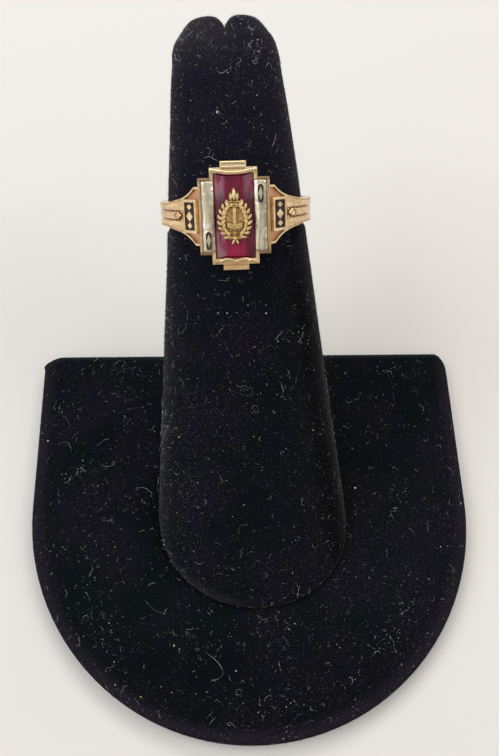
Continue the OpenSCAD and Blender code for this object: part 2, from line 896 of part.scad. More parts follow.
// A disc with rounded edges, from the given start angle round
module round_disc(radius, span) {
    rotate_extrude(angle = span, $fn = 120)
        intersection() {
            union() {
                square([radius - base_edge, base_thickness]);
                translate([0, base_edge])
                    square([radius, base_thickness - 2 * base_edge]);
                for (level = [base_edge, base_thickness - base_edge])
                    translate([radius - base_edge, level])
                        circle(base_edge, $fn = 20);
            }
            square([radius, base_thickness]);
        }
}

module stand_base() {
    color("dimgray")
        translate([0, 0, base_bottom])
            hull() {
                mirror([0, 1, 0])
                    round_disc(base_radius, 180);
                for (side = [-1, 1])
                    translate([side * (base_radius - corner_radius), base_straight - corner_radius, 0])
                        intersection() {
                            round_disc(corner_radius, 360);
                            translate([side < 0 ? -corner_radius : 0, 0, 0])
                                cube([corner_radius, corner_radius, base_thickness]);
                        }
            }
}

module stand_backing() {
    color("tan")
        linear_extrude(height = board_thickness)
            base_outline_2d(board_inset);
}

ring_casting();
side_plate_left();
side_plate_right();
stone();
emblem();
enamel_left();
enamel_right();
stand_finger();
stand_base();
stand_backing();
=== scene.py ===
"""Looks for a class ring that is worn by a leaning velvet finger on a round fronted velvet base."""

import math

import bpy
import numpy as np
from bpy.props import FloatProperty, FloatVectorProperty, IntProperty, PointerProperty
from mathutils import Matrix, Vector


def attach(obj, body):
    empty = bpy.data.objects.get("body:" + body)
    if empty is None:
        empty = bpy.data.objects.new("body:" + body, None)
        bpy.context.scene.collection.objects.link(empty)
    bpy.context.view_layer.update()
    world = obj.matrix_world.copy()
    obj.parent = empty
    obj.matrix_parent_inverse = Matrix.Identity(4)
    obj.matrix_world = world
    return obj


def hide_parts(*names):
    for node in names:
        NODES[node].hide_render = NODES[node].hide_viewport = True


bl_info = {
    "name": "Class Ring on a Velvet Finger",
    "version": (1, 0, 0),
    "blender": (4, 5, 0),
    "location": "3D Viewport > Sidebar > Ring Stand",
    "description": "Finishes the ring's metal, stone and enamel and covers its stand in velvet",
    "category": "Object",
}

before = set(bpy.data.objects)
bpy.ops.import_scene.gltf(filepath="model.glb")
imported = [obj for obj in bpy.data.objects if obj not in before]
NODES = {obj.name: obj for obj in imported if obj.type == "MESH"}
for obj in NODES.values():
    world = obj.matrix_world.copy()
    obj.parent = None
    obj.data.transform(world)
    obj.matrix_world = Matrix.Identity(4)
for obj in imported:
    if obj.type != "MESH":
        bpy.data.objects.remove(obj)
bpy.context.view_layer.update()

MM = 0.001
SEED = 7

# Sizes of the part's source that the pieces made here follow, in millimetres
BASE_RADIUS = 32.0
BASE_STRAIGHT = 24.3
BASE_LOW = 0.53
BASE_TOP = 2.53
BASE_EDGE = 0.8
FINGER_LENGTH = 70.5
FINGER_LEAN = 50.8
FINGER_SWAY = 3.3
FOOT_PLACE = (0.16, -4.8)
FOOT_WIDTH = 28.2
FOOT_DEPTH = 17.4
FOOT_ROLL = 0.9
FOOT_GAP = 0.05
TIP_WIDTH = 12.0
TIP_DEPTH = 10.8
TIP_HEIGHT = 5.0
CREST_SHARE = 0.35
TIP_BEND = 0.14
CLEFT_DEPTH = 1.5
CLEFT_WIDTH = 0.63
BORE_R = 8.65
SEAT_R = 8.45
RING_SLACK = 0.04
RING_SPIN = 2.9
RING_TILT = 1.2
RING_SIDE = 0.12
SHANK_SIDE = 2.85
HEAD_Z = 4.35
HEAD_TURN = 64
SHOULDER_TURN = 34
FACE_AT = 10.99
TABLE_AT = 11.19
TABLE_HALF = 1.11
PLATE_AT = 3.08
PLATE_HALF = (0.71, 4.0)
CARTOUCHES = {"left": -2.72, "right": 2.48}
CARTOUCHE_HALF = (0.42, 1.15)
BEADS_AT = 3.9
BEADS_LEVEL = 11.09
BEADS_HALF = 4.08
GROOVE_Z = 0.52
SIDES = ((-1, "left"), (1, "right"))
SLOPE_TOP = (4.13, -10.29)
SLOPE_END = (7.624, -5.85)
WIDTH_FALL = (FOOT_WIDTH - TIP_WIDTH) / 2 / FINGER_LENGTH
RING_ALONG = (FOOT_WIDTH / 2 - BORE_R + RING_SLACK) / WIDTH_FALL
EMBLEM_BACK = TABLE_AT + 0.04
PLATE_BACK = FACE_AT - 0.6
PANEL_BACK = -0.34
CAMERA_PLACE = Vector((-6.271, -25.152, 110.033)) * MM
CAMERA_RIGHT = Vector((0.99839, -0.03137, 0.04728))
CAMERA_UP = Vector((0.01052, 0.92120, 0.38896))

# How finely the velvet pieces are meshed round, and how lint lies on them
FINGER_POINTS = 168
BASE_POINTS = 330
LINT_LIFT = 0.05
GRAIN_LIFT = 0.03
RING_COVER = 2.2
UPPER_LINT = 38
TIP_LINT = 45.3
PILE_HALF = 0.018


def turned(x, y, z):
    """A turn by Z, then Y, then X, in degrees, as the part's source nests them."""
    return (
        Matrix.Rotation(math.radians(x), 4, "X")
        @ Matrix.Rotation(math.radians(y), 4, "Y")
        @ Matrix.Rotation(math.radians(z), 4, "Z")
    )


ON_FINGER = Matrix.Translation((*FOOT_PLACE, 0)) @ turned(-FINGER_LEAN, -FINGER_SWAY, 0)
ON_RING = (
    ON_FINGER
    @ Matrix.Translation((RING_SIDE, 0, RING_ALONG))
    @ Matrix.Rotation(math.radians(-RING_SPIN), 4, "Z")
    @ Matrix.Rotation(math.radians(RING_TILT), 4, "Y")
)


# Shader tools


class Wire:
    """A value that changes over a surface. A sum or product on it adds a Math node."""

    def __init__(self, finish, socket):
        self.finish = finish
        self.socket = socket

    def _maths(self, operation, *values):
        return self.finish.add("ShaderNodeMath", {"operation": operation}, list(values))

    def __add__(self, other):
        return self._maths("ADD", self, other)

    def __sub__(self, other):
        return self._maths("SUBTRACT", self, other)

    def __rsub__(self, other):
        return self._maths("SUBTRACT", other, self)

    def __mul__(self, other):
        return self._maths("MULTIPLY", self, other)

    def __pow__(self, other):
        return self._maths("POWER", self, other)

    __radd__ = __add__
    __rmul__ = __mul__

    def size(self):
        return self._maths("ABSOLUTE", self)

    def near(self, place, outer, inner):
        """1 within inner of a place, 0 beyond outer."""
        return (self - place).size().rise(outer, inner)

    def at_most(self, limit):
        return self._maths("MINIMUM", self, limit)

    def rise(self, low, high):
        """0 below low, 1 above high and smooth between; low may be the larger of the two."""
        settings = {"interpolation_type": "SMOOTHSTEP"}
        values = {"Value": self, "From Min": low, "From Max": high}
        return self.finish.add("ShaderNodeMapRange", settings, values)


class NodeTree:
    """A node tree under construction."""

    def __init__(self, tree):
        self.tree = tree

    def add(self, kind, settings=None, values=None, output=0):
        """Adds a node: its settings first, then the numbers or wires of its sockets."""
        node = self.tree.nodes.new(kind)
        for key, value in (settings or {}).items():
            setattr(node, key, value)
        pairs = values.items() if isinstance(values, dict) else enumerate(values or [])
        for key, value in pairs:
            self.feed(node.inputs[key], value)
        return Wire(self, node.outputs[output])

    def feed(self, socket, value):
        if isinstance(value, Wire):
            self.tree.links.new(value.socket, socket)
        elif isinstance(value, tuple) and len(value) == 3 and len(socket.default_value) == 4:
            socket.default_value = (*value, 1)
        else:
            socket.default_value = value

    def split(self, vector):
        node = self.tree.nodes.new("ShaderNodeSeparateXYZ")
        self.feed(node.inputs[0], vector)
        return [Wire(self, output) for output in node.outputs]

    def noise(self, vector, scale, detail=2.0, roughness=0.5, stretch=None, distortion=0.0):
        if stretch:
            vector = self.add("ShaderNodeVectorMath", {"operation": "MULTIPLY"}, [vector, stretch])
        values = {"Vector": vector, "Scale": scale, "Detail": detail, "Roughness": roughness}
        values["Distortion"] = distortion
        return self.add("ShaderNodeTexNoise", None, values)

    def mix(self, mask, first, second):
        return self.add("ShaderNodeMix", {"data_type": "RGBA"}, {0: mask, 6: first, 7: second}, output=2)

    def coats(self, colour, *coats):
        """A colour under more colours, each laid on by its mask."""
        for mask, tint in coats:
            colour = self.mix(mask, colour, tint)
        return colour


class Finish(NodeTree):
    """A node material under construction."""

    def __init__(self, name):
        self.material = bpy.data.materials.new(name)
        self.material.use_nodes = True
        super().__init__(self.material.node_tree)
        self.shader = self.tree.nodes["Principled BSDF"]

    def set(self, **values):
        """Sets the shader's sockets; an underscore in a name stands for a blank."""
        for key, value in values.items():
            self.feed(self.shader.inputs[key.replace("_", " ")], value)
        return self

    def place(self):
        """The surface's place in millimetres, in the part's frame."""
        spot = self.add("ShaderNodeTexCoord", output=3)
        return self.add("ShaderNodeVectorMath", {"operation": "SCALE"}, {0: spot, "Scale": 1 / MM})

    def place_in(self, matrix):
        """The surface's place in millimetres, in the frame of a piece."""
        back = matrix.inverted()
        turn = tuple(back.to_euler())
        return self.add("ShaderNodeMapping", None, [self.place(), tuple(back.translation), turn])

    def hollow(self, reach):
        """1 in corners and hollows, 0 on open faces."""
        open_part = self.add("ShaderNodeAmbientOcclusion", {"samples": 8}, {"Distance": reach * MM}, 1)
        return 1 - open_part

    def bump(self, height, depth, strength=1.0):
        """Turns a height into a normal; depth is in millimetres."""
        values = {"Strength": strength, "Distance": depth * MM, "Height": height}
        return self.set(Normal=self.add("ShaderNodeBump", None, values))


# Finishes


def ring_gold(name, tint):
    """Cast gold, bright on its edges and dull and reddish where polish doesn't reach, with painted shade and
    painted highlights on its head and grooves.
    """
    gold = Finish(name)
    spot = gold.place_in(ON_RING)
    x, y, z = gold.split(spot)
    wide, tall = x.size(), z.size()
    head = wide.rise(4.3, 4.1)
    face = y.rise(-10.5, -10.9)
    deep = gold.hollow(0.3).rise(0.3, 0.85)

    # The sunk fields beside the shoulder panels, by their depth under the slope from the head to the shank
    along = (SLOPE_END[0] - SLOPE_TOP[0], SLOPE_END[1] - SLOPE_TOP[1])
    run = math.hypot(*along)
    out = (along[1] / run, -along[0] / run)
    level = out[0] * SLOPE_TOP[0] + out[1] * SLOPE_TOP[1]
    depth = level - (wide * out[0] + y * out[1])
    ground = depth.rise(0.16, 0.21) * depth.rise(0.36, 0.3) * wide.rise(4.12, 4.16)
    ground = ground * tall.rise(3.3, 3.1) * wide.rise(7.5, 7.2)

    # The shank's brushed sides and its grooves
    side = wide.rise(5.4, 6.2)
    streak = gold.noise(spot, 2.4, 3, 0.6, (0.35, 0.35, 3.2))
    groove = tall.near(GROOVE_Z, 0.14, 0.06) * wide.rise(7.0, 7.3) * y.rise(-2, -4)

    # Painted shade on the head's outer rims, on the ground under the beads, on the ledges of its ends and in
    # a dark corner; painted shade lines and a painted highlight line on the tabs
    rim = wide.rise(3.72, 3.82) * head * face
    bead_shade = wide.near(BEADS_AT, 0.12, 0.08) * (0 - y).rise(BEADS_LEVEL + 0.05, BEADS_LEVEL + 0.02)
    bead_shade = bead_shade * face * tall.rise(4.2, 4.1)
    ledge_shade = tall.near(4.22, 0.27, 0.1) * wide.rise(2.5, 2.8) * head
    corner = x.rise(3.2, 3.7) * z.rise(-2.8, -4.0) * (1 - z.rise(-4.4, -4.6))
    tab = wide.rise(1.35, 1.25)
    seam_shade = z.near(5.82, 0.08, 0.02) + z.near(5.3, 0.1, 0.03) + z.near(-5.53, 0.14, 0.05)
    tab_highlight = z.near(5.63, 0.12, 0.03) * tab

    cloud = gold.noise(spot, 1.3, 3)
    dull, bright = (tuple(min(1, c * share) for c in tint) for share in (0.74, 1.06))
    colour = gold.coats(
        gold.mix(cloud.rise(0.3, 0.62), dull, bright),
        (side * streak.rise(0.38, 0.62) * 0.75, (0.60, 0.39, 0.20)),
        # painted shade on the head's outer rims
        (rim * 0.25, (0.44, 0.31, 0.17)),
        # painted shade on the ground under the beads
        (bead_shade * 0.6, (0.16, 0.08, 0.045)),
        # painted highlight: the top tab brighter
        (z.rise(5.0, 5.2) * 0.8, (1.0, 0.82, 0.50)),
        # painted shade lines where the tabs meet the steps
        (seam_shade * tab * 0.65, (0.42, 0.21, 0.10)),
        # a painted highlight line across the top tab
        (tab_highlight * 0.8, (1.0, 0.94, 0.72)),
        # painted shade: the bottom tab darker and more orange
        (z.rise(-5.0, -5.2) * 0.55, (0.80, 0.50, 0.23)),
        # painted shade in the head's lower right corner
        (corner * 0.5, (0.26, 0.17, 0.10)),
        # painted shade in the head's wider hollows, beyond the fine patina
        (gold.hollow(0.8).rise(0.4, 0.9) * head * 0.55, (0.42, 0.20, 0.10)),
        # painted shade on the ledges at the head's ends
        (ledge_shade * 0.85, (0.33, 0.20, 0.11)),
        (ground * 0.75, (0.66, 0.31, 0.16)),
        # painted shade in the shank's grooves, which are also rougher and less metallic
        (groove * 0.85, (0.25, 0.11, 0.085)),
        (deep * 0.8, (0.30, 0.13, 0.065)),
    )
    grain = gold.noise(spot, 9, 3, 0.6)
    rough = 0.12 + grain * 0.13 + deep * 0.3 + (ground + groove) * 0.28
    gold.set(Base_Color=colour, Metallic=0.86 - deep * 0.4 - groove * 0.3, Roughness=rough)
    pits = ground * gold.noise(spot, 26, 2) * 2
    return gold.bump(cloud * 2.6 + grain + side * streak * 1.5 + pits, 0.012)


def pale_gold(name):
    """Greenish white gold, softly wavy, with black in the cartouches, painted dark reflections and painted
    highlights.
    """
    gold = Finish(name)
    spot = gold.place_in(ON_RING)
    x, y, z = gold.split(spot)
    wide = x.size()
    sunk = (0 - y).rise(FACE_AT + 0.15, FACE_AT + 0.09) * wide.near(PLATE_AT, 0.37, 0.33)
    sunk = sunk * z.size().near(2.6, 1.2, 1.16)
    deep = gold.hollow(0.3).rise(0.3, 0.75)
    cloud = gold.noise(spot, 0.9, 2, 0.5, (1.0, 1.0, 0.35))
    reflection_band = gold.noise(spot, 1.15, 2, 0.5, (2.4, 1.0, 0.3)).rise(0.5, 0.64) * (1 - z.rise(0.5, 2.5) * 0.6)
    colour = gold.coats(
        gold.mix(cloud.rise(0.35, 0.68), (0.64, 0.555, 0.385), (0.92, 0.82, 0.61)),
        # painted dark reflections in wavy bands, weaker towards the top
        (reflection_band * 0.5, (0.30, 0.265, 0.185)),
        # painted highlight along the inner edges of both plates' upper halves
        (wide.rise(2.9, 2.6) * z.rise(1.2, 2.8) * 0.7, (1.0, 0.97, 0.86)),
        # painted highlight on the left plate, a little below its middle
        (z.near(-1.0, 0.42, 0.15) * x.rise(-2.7, -3.0) * 0.8, (1.0, 0.97, 0.88)),
        (deep * 0.8, (0.07, 0.05, 0.035)),
        (sunk * 0.9, (0.026, 0.020, 0.016)),
    )
    grain = gold.noise(spot, 7, 3, 0.6, (1.0, 1.0, 0.2))
    metal = (1 - sunk) * (0.78 - deep * 0.3)
    gold.set(Base_Color=colour, Metallic=metal, Roughness=0.22 + grain * 0.2 + deep * 0.3)
    dent = gold.noise(spot, 1.7, 2, 0.5, (1.3, 1.0, 0.8))
    return gold.bump(cloud * 3 + dent * 3 + grain * 0.4, 0.04)


def relief_gold(name):
    """The emblem's warm gold, bright on its heights over a dark, dull ground, with a painted highlight over
    its upper part.
    """
    gold = Finish(name)
    spot = gold.place_in(ON_RING)
    _, y, z = gold.split(spot)
    low = ((0 - y) - TABLE_AT).rise(0.34, 0.16)
    deep = gold.hollow(0.35).rise(0.2, 0.7)
    cloud = gold.noise(spot, 2.2, 3)
    colour = gold.coats(
        gold.mix(cloud.rise(0.3, 0.7), (0.82, 0.58, 0.25), (0.95, 0.73, 0.38)),
        # painted highlight over the emblem's upper part, the torch's flame
        (z.rise(0.8, 2.2) * 0.6, (1.0, 0.84, 0.50)),
        (low * 0.55, (0.50, 0.26, 0.11)),
        (deep * 0.7, (0.14, 0.05, 0.03)),
    )
    grain = gold.noise(spot, 14, 3, 0.65)
    rough = 0.24 + grain * 0.16 + low * 0.22
    gold.set(Base_Color=colour, Metallic=0.84 - low * deep * 0.4, Roughness=rough)
    return gold.bump(grain, 0.02)


def red_stone():
    """Red stone, clear and polished, with streaks along it, painted shade on its bevels and lower right,
    painted light and shade on its table, and pale flecks on its lower right bevel, part scratches and part
    painted glints.
    """
    stone = Finish("red_stone")
    spot = stone.place_in(ON_RING)
    x, _, z = stone.split(spot)
    bevel = x.size().rise(0.8, 1.35)
    table = 1 - bevel
    shade = bevel * z.near(0.5, 3.2, 1.4) + x.rise(0.95, 1.5) * z.rise(-0.8, -2.4)
    # Pale flecks low on the right bevel: partly scratches, partly painted glints
    scratch_glint = stone.noise(spot, 5.5, 2, 0.6, (1.0, 1.0, 0.6)).rise(0.6, 0.68) * x.rise(0.7, 1.1)
    scratch_glint = scratch_glint * z.rise(-0.6, -1.3) * z.rise(-3.9, -3.3)
    streak = stone.noise(spot, 1.6, 3, 0.6, (1.6, 1.0, 0.22))
    colour = stone.coats(
        stone.mix(streak.rise(0.32, 0.68), (0.44, 0.008, 0.075), (0.86, 0.022, 0.18)),
        # painted light: the lower table brighter crimson
        (z.rise(-1.6, -3.8) * table * 0.35, (1.0, 0.04, 0.24)),
        # painted shade at the top end under the end bar, and over the upper table
        (z.rise(3.6, 4.7) * 0.5 + z.rise(1.2, 3.2) * table * 0.3, (0.26, 0.012, 0.06)),
        # painted shade on the bevels and the lower right
        (shade.at_most(1) * 0.75, (0.16, 0.012, 0.03)),
        (scratch_glint * 0.55, (0.62, 0.42, 0.50)),
    )
    wave = stone.noise(spot, 0.8, 3, 0.55, (1.2, 1.0, 0.5))
    scratch = stone.noise(spot, 3, 2, 0.5, (3.0, 1.0, 0.4))
    gleam = stone.noise(spot, 0.75, 3, 0.6, (1.6, 1.0, 0.8)).rise(0.33, 0.52) * bevel
    gleam = gleam * (z - 0.3).size().rise(0.9, 2.6) * (1 - x.rise(0, 1) * z.rise(0.5, -1.5) * 0.6)
    stone.set(Base_Color=colour, Roughness=0.07 + scratch * 0.1, IOR=1.38, Transmission_Weight=0.72)
    stone.set(Coat_Weight=gleam + 0.06, Coat_Roughness=0.12, Coat_IOR=1.76)
    edge = 1 - ((x.size() - TABLE_HALF).size() * 2.5).at_most(1)
    return stone.bump(wave + scratch * 0.12 - edge * edge * 0.55, 0.08)


def black_enamel():
    enamel = Finish("black_enamel")
    spot = enamel.place_in(ON_RING)
    wear = enamel.noise(spot, 4, 3, 0.6)
    colour = enamel.mix(wear.rise(0.5, 0.75), (0.018, 0.006, 0.006), (0.065, 0.03, 0.024))
    enamel.set(Base_Color=colour, Roughness=0.2 + wear * 0.2, Specular_IOR_Level=0.22)
    return enamel.bump(wear, 0.02)


def velvet(name, shades, sheen, painted_light):
    """Black velvet: patches of three dark shades, a fine speckled pile, and the painted light and shade that
    the given function adds by place.
    """
    cloth = Finish(name)
    spot = cloth.place()
    pile = cloth.noise(spot, 5.5, 3, 0.7)
    nap = cloth.noise(spot, 0.11, 3, 0.6)
    patch = cloth.noise(spot, 0.27, 2, 0.5, distortion=0.6)
    colour = cloth.coats(
        cloth.mix(nap.rise(0.4, 0.62), shades[0], shades[1]),
        (patch.rise(0.52, 0.68) * 0.8, shades[2]),
        (pile.rise(0.5, 0.8) * 0.8, (0.018, 0.018, 0.023)),
    )
    # painted light and shade by place, and where the velvet is marked as lit
    colour, lit = painted_light(cloth, colour, *cloth.split(spot))
    # light pile tips, some at random and more where marked as lit: partly the pile's own tone, partly
    # painted sheen
    tips = cloth.noise(spot, 4.3, 2, 0.6).rise(0.58, 0.72) * (nap.rise(0.35, 0.6) * 0.5 + lit)
    colour = cloth.mix(tips, colour, (0.078, 0.080, 0.088))
    cloth.set(Base_Color=colour, Roughness=0.95, Specular_IOR_Level=0.03)
    cloth.set(Sheen_Weight=sheen, Sheen_Roughness=0.3, Sheen_Tint=(0.80, 0.76, 0.84))
    return cloth.bump(pile, 0.10, 0.9)


def pile_hair():
    """The tips of the velvet's pile, of which a few catch the light."""
    hair = Finish("pile_hair")
    kind = hair.noise(hair.place(), 3.2, 1)
    colour = hair.mix(kind.rise(0.5, 0.68), (0.010, 0.010, 0.013), (0.24, 0.24, 0.26))
    return hair.set(Base_Color=colour, Roughness=0.8, Specular_IOR_Level=0.05)


def lint_fibre():
    lint = Finish("lint")
    kind = lint.noise(lint.place(), 0.9, 1)
    colour = lint.mix(kind.rise(0.4, 0.56), (0.22, 0.26, 0.29), (0.96, 0.95, 0.94))
    return lint.set(Base_Color=colour, Roughness=0.8, Specular_IOR_Level=0.2)


def amber():
    return Finish("amber").set(Base_Color=(0.75, 0.36, 0.08), Roughness=0.35)


def raw_board():
    board = Finish("raw_board")
    spot = board.place()
    fibre = board.noise(spot, 1.6, 4, 0.65, (1.0, 1.0, 9.0))
    colour = board.mix(fibre.rise(0.3, 0.7), (0.40, 0.31, 0.21), (0.60, 0.50, 0.38))
    board.set(Base_Color=colour, Roughness=0.9)
    return board.bump(fibre, 0.05)


# Mesh tools


def new_piece(name, points, faces, finish, sharp=None):
    """A shaded mesh object on the root body, from points in metres."""
    mesh = bpy.data.meshes.new(name)
    mesh.from_pydata([tuple(p) for p in points], [], [tuple(int(i) for i in f) for f in faces])
    mesh.validate()
    mesh.update()
    mesh.materials.append(finish.material)
    mesh.shade_smooth()
    if sharp:
        mesh.set_sharp_from_angle(angle=math.radians(sharp))
    piece = bpy.data.objects.new(name, mesh)
    bpy.context.scene.collection.objects.link(piece)
    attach(piece, "root")
    return piece


def placed(points, matrix):
    """Points in a piece's millimetres, as points in the part's metres."""
    points = np.asarray(points, float)
    turn = np.array(matrix.to_3x3())
    return (points @ turn.T + np.array(matrix.translation)) * MM


def finish_node(node, finish, bevel=None, least=35):
    """Gives a CAD node its finish and rounds its edges that turn by at least so many degrees."""
    mesh = NODES[node].data
    mesh.materials.clear()
    mesh.materials.append(finish.material)
    if bevel:
        soft = NODES[node].modifiers.new("soft_edges", "BEVEL")
        soft.width = bevel * MM
        soft.segments = 2
        soft.limit_method = "ANGLE"
        soft.angle_limit = math.radians(least)
        soft.harden_normals = True


def grid_faces(rows, around, closed=True):
    """Quads between rows of points; closed joins the last point of a row to its first."""
    last = around if closed else around - 1
    row, step = np.meshgrid(np.arange(rows - 1), np.arange(last), indexing="ij")
    following = (step + 1) % around
    low, high = row * around, (row + 1) * around
    return np.stack([low + step, high + step, high + following, low + following], -1).reshape(-1, 4)


def relief_piece(name, spacing, half, centre, shape, back, to_part, finish):
    """A closed relief over a flat back. shape(x, z) gives how far inside a place is, and its height."""
    xs = np.arange(centre[0] - half[0], centre[0] + half[0] + spacing, spacing)
    zs = np.arange(centre[1] - half[1], centre[1] + half[1] + spacing, spacing)
    x, z = np.meshgrid(xs, zs)
    inside, _ = shape(x, z)
    fall_z, fall_x = np.gradient(inside, spacing)
    steep = np.maximum(fall_x**2 + fall_z**2, 0.2)
    near = np.abs(inside) < 0.75 * spacing
    x = x - np.where(near, inside * fall_x / steep, 0)
    z = z - np.where(near, inside * fall_z / steep, 0)
    _, height = shape(x, z)
    kept = inside > -0.75 * spacing
    rows, columns = x.shape
    number = np.arange(rows * columns).reshape(rows, columns)
    whole = kept[:-1, :-1] & kept[:-1, 1:] & kept[1:, 1:] & kept[1:, :-1]
    quads = np.stack([number[:-1, :-1], number[:-1, 1:], number[1:, 1:], number[1:, :-1]], -1)[whole]
    used = np.unique(quads)
    renumber = np.full(rows * columns, -1)
    renumber[used] = np.arange(len(used))
    quads = renumber[quads]
    top = np.stack([x.ravel()[used], -height.ravel()[used], z.ravel()[used]], -1)
    low = top.copy()
    low[:, 1] = -back
    edges = np.concatenate([quads[:, [i, (i + 1) % 4]] for i in range(4)])
    keys = {(a, b) for a, b in edges.tolist()}
    rim = [(a, b) for a, b in keys if (b, a) not in keys]
    count = len(top)
    faces = [q[::-1] for q in quads.tolist()] + (quads + count).tolist()
    faces += [(a, b, b + count, a + count) for a, b in sorted(rim)]
    faces = [f[::-1] for f in faces]
    return new_piece(name, placed(np.concatenate([top, low]), to_part), faces, finish, 50)


def hump(value, at, width):
    """A bell, 1 high, round a place."""
    return np.exp(-(((value - at) / width) ** 2))


def dome(inside, half):
    """Height share of a rounded form, by how far inside its edge a place is."""
    share = np.clip(inside / half, 0, 1)
    return np.sqrt(1 - (1 - share) ** 2)


def leaf_inside(x, z, at, aim, length, width):
    """How far inside a pointed leaf a place is, and how far it is from the leaf's middle line."""
    turn = math.radians(aim)
    along = (x - at[0]) * math.cos(turn) + (z - at[1]) * math.sin(turn)
    across = (z - at[1]) * math.cos(turn) - (x - at[0]) * math.sin(turn)
    bow = (length * length / 4 + width * width / 4) / width
    return bow - np.hypot(along - length / 2, np.abs(across) + bow - width / 2), across


def bar_inside(x, z, start, end, radius):
    run = np.subtract(end, start)
    share = np.clip(((x - start[0]) * run[0] + (z - start[1]) * run[1]) / (run @ run), 0, 1)
    return radius - np.hypot(x - start[0] - share * run[0], z - start[1] - share * run[1])


def box_inside(x, z, at, half, taper=0.0):
    wide = half[0] + taper * (z - at[1])
    return np.minimum(wide - np.abs(x - at[0]), half[1] - np.abs(z - at[1]))


# Ring pieces


WREATH_HALF = (1.5, 2.0)
WREATH_Z = -0.42
MEDAL_HALF = (1.55, 2.05)
MEDAL_RISE = 0.17
RAYS_Z = -0.62
KNOT_Z = -2.42
# The torch's flame: where each tongue starts, its aim in degrees, length, width and height
FLAME = (
    ((0, 1.65), 90, 1.62, 0.6, 0.62),
    ((0.3, 1.65), 82, 1.1, 0.44, 0.52),
    ((-0.3, 1.65), 98, 1.1, 0.44, 0.52),
    ((0.12, 1.9), 70, 0.9, 0.26, 0.64),
    ((-0.12, 1.9), 110, 0.9, 0.26, 0.64),
)


def on_wreath(side, degrees):
    """A place on the wreath's stem, by its turn from the knot, and the aim of the right stem there."""
    t = math.radians(degrees)
    wide, tall = WREATH_HALF
    at = (side * wide * math.sin(t), -tall * math.cos(t) + WREATH_Z)
    return at, math.degrees(math.atan2(tall * math.sin(t), wide * math.cos(t)))


def emblem_shape(x, z):
    """The emblem: a torch and an open book before a medallion, in a laurel wreath tied with a bow."""
    inside = np.full(x.shape, -9.0)
    height = np.zeros(x.shape)

    def lay(shape, rise, half, cut=0.0):
        nonlocal inside, height
        inside = np.maximum(inside, shape)
        body = np.where(shape > 0, 0.12 + (rise - 0.12) * dome(shape, half) - cut, 0)
        height = np.maximum(height, body)

    def mirrored(side, aim):
        return aim if side > 0 else 180 - aim

    medal = np.minimum((1 - np.hypot(x / MEDAL_HALF[0], (z - WREATH_Z) / MEDAL_HALF[1])) * 1.6, 0.95 - z)
    inside = np.maximum(inside, medal)
    height = np.maximum(height, np.where(medal > -0.02, MEDAL_RISE, 0))
    lay(0.08 - np.abs(np.hypot(x, z - RAYS_Z) - 1.3), 0.36, 0.08)
    for ray in range(20):
        turn = math.radians(18 * ray + 9)
        start, end = ((reach * math.cos(turn), RAYS_Z + reach * math.sin(turn)) for reach in (0.5, 1.15))
        lay(bar_inside(x, z, start, end, 0.06), 0.27, 0.06)
    for side in (-1, 1):
        for step in range(8):
            at, aim = on_wreath(side, 22 + 17 * step)
            lay(0.1 - np.hypot(x - at[0], z - at[1]), 0.3, 0.1)
            for spread, rise in ((34, 0.5), (-34, 0.42)):
                blade, across = leaf_inside(x, z, at, mirrored(side, aim + spread), 0.84, 0.42)
                lay(blade, rise, 0.15, 0.07 * hump(across, 0, 0.028))
        at, aim = on_wreath(side, 139)
        lay(leaf_inside(x, z, at, mirrored(side, aim), 0.8, 0.34)[0], 0.5, 0.15)
        stops = [on_wreath(side, turn)[0] for turn in range(0, 141, 10)]
        for start, end in zip(stops, stops[1:]):
            lay(bar_inside(x, z, start, end, 0.09), 0.33, 0.09)
        loop, _ = leaf_inside(x, z, (side * 0.08, KNOT_Z), mirrored(side, 8), 0.82, 0.46)
        lay(loop, 0.5, 0.16, 0.16 * hump(loop, 0.14, 0.05))
        tail, _ = leaf_inside(x, z, (side * 0.02, KNOT_Z - 0.04), -mirrored(side, 62), 0.84, 0.34)
        lay(tail, 0.42, 0.12)
    lay(box_inside(x, z, (0, -0.575), (0.22, 1.72), 0.046), 0.56, 0.2, 0.05 * (np.cos(x * 38) < 0))
    across = z + 1.15 - 0.24 * np.abs(x)
    page = np.minimum(0.92 - np.abs(x), 0.31 - np.abs(across))
    line = (np.cos(across * 44) < -0.4) & (page > 0.1) & (np.abs(x) > 0.12)
    spine = 0.16 * hump(x, 0, 0.055)
    lay(page, 0.66, 0.07, spine + 0.06 * line - 0.05 * np.sin(np.pi * np.minimum(np.abs(x) / 0.92, 1)))
    cup = box_inside(x, z, (0, 1.4), (0.48, 0.26), 0.7)
    lay(cup, 0.6, 0.25, 0.06 * (np.cos(x * 26) < -0.2))
    for at, half in ((1.15, (0.38, 0.075)), (1.71, (0.74, 0.085)), (-1.75, (0.3, 0.08))):
        lay(box_inside(x, z, (0, at), half), 0.66, 0.08)
    for at, aim, length, width, rise in FLAME:
        lay(leaf_inside(x, z, at, aim, length, width)[0], rise, width * 0.5)
    lay(0.27 - np.hypot(x, z - KNOT_Z), 0.6, 0.2)
    return inside, EMBLEM_BACK + height


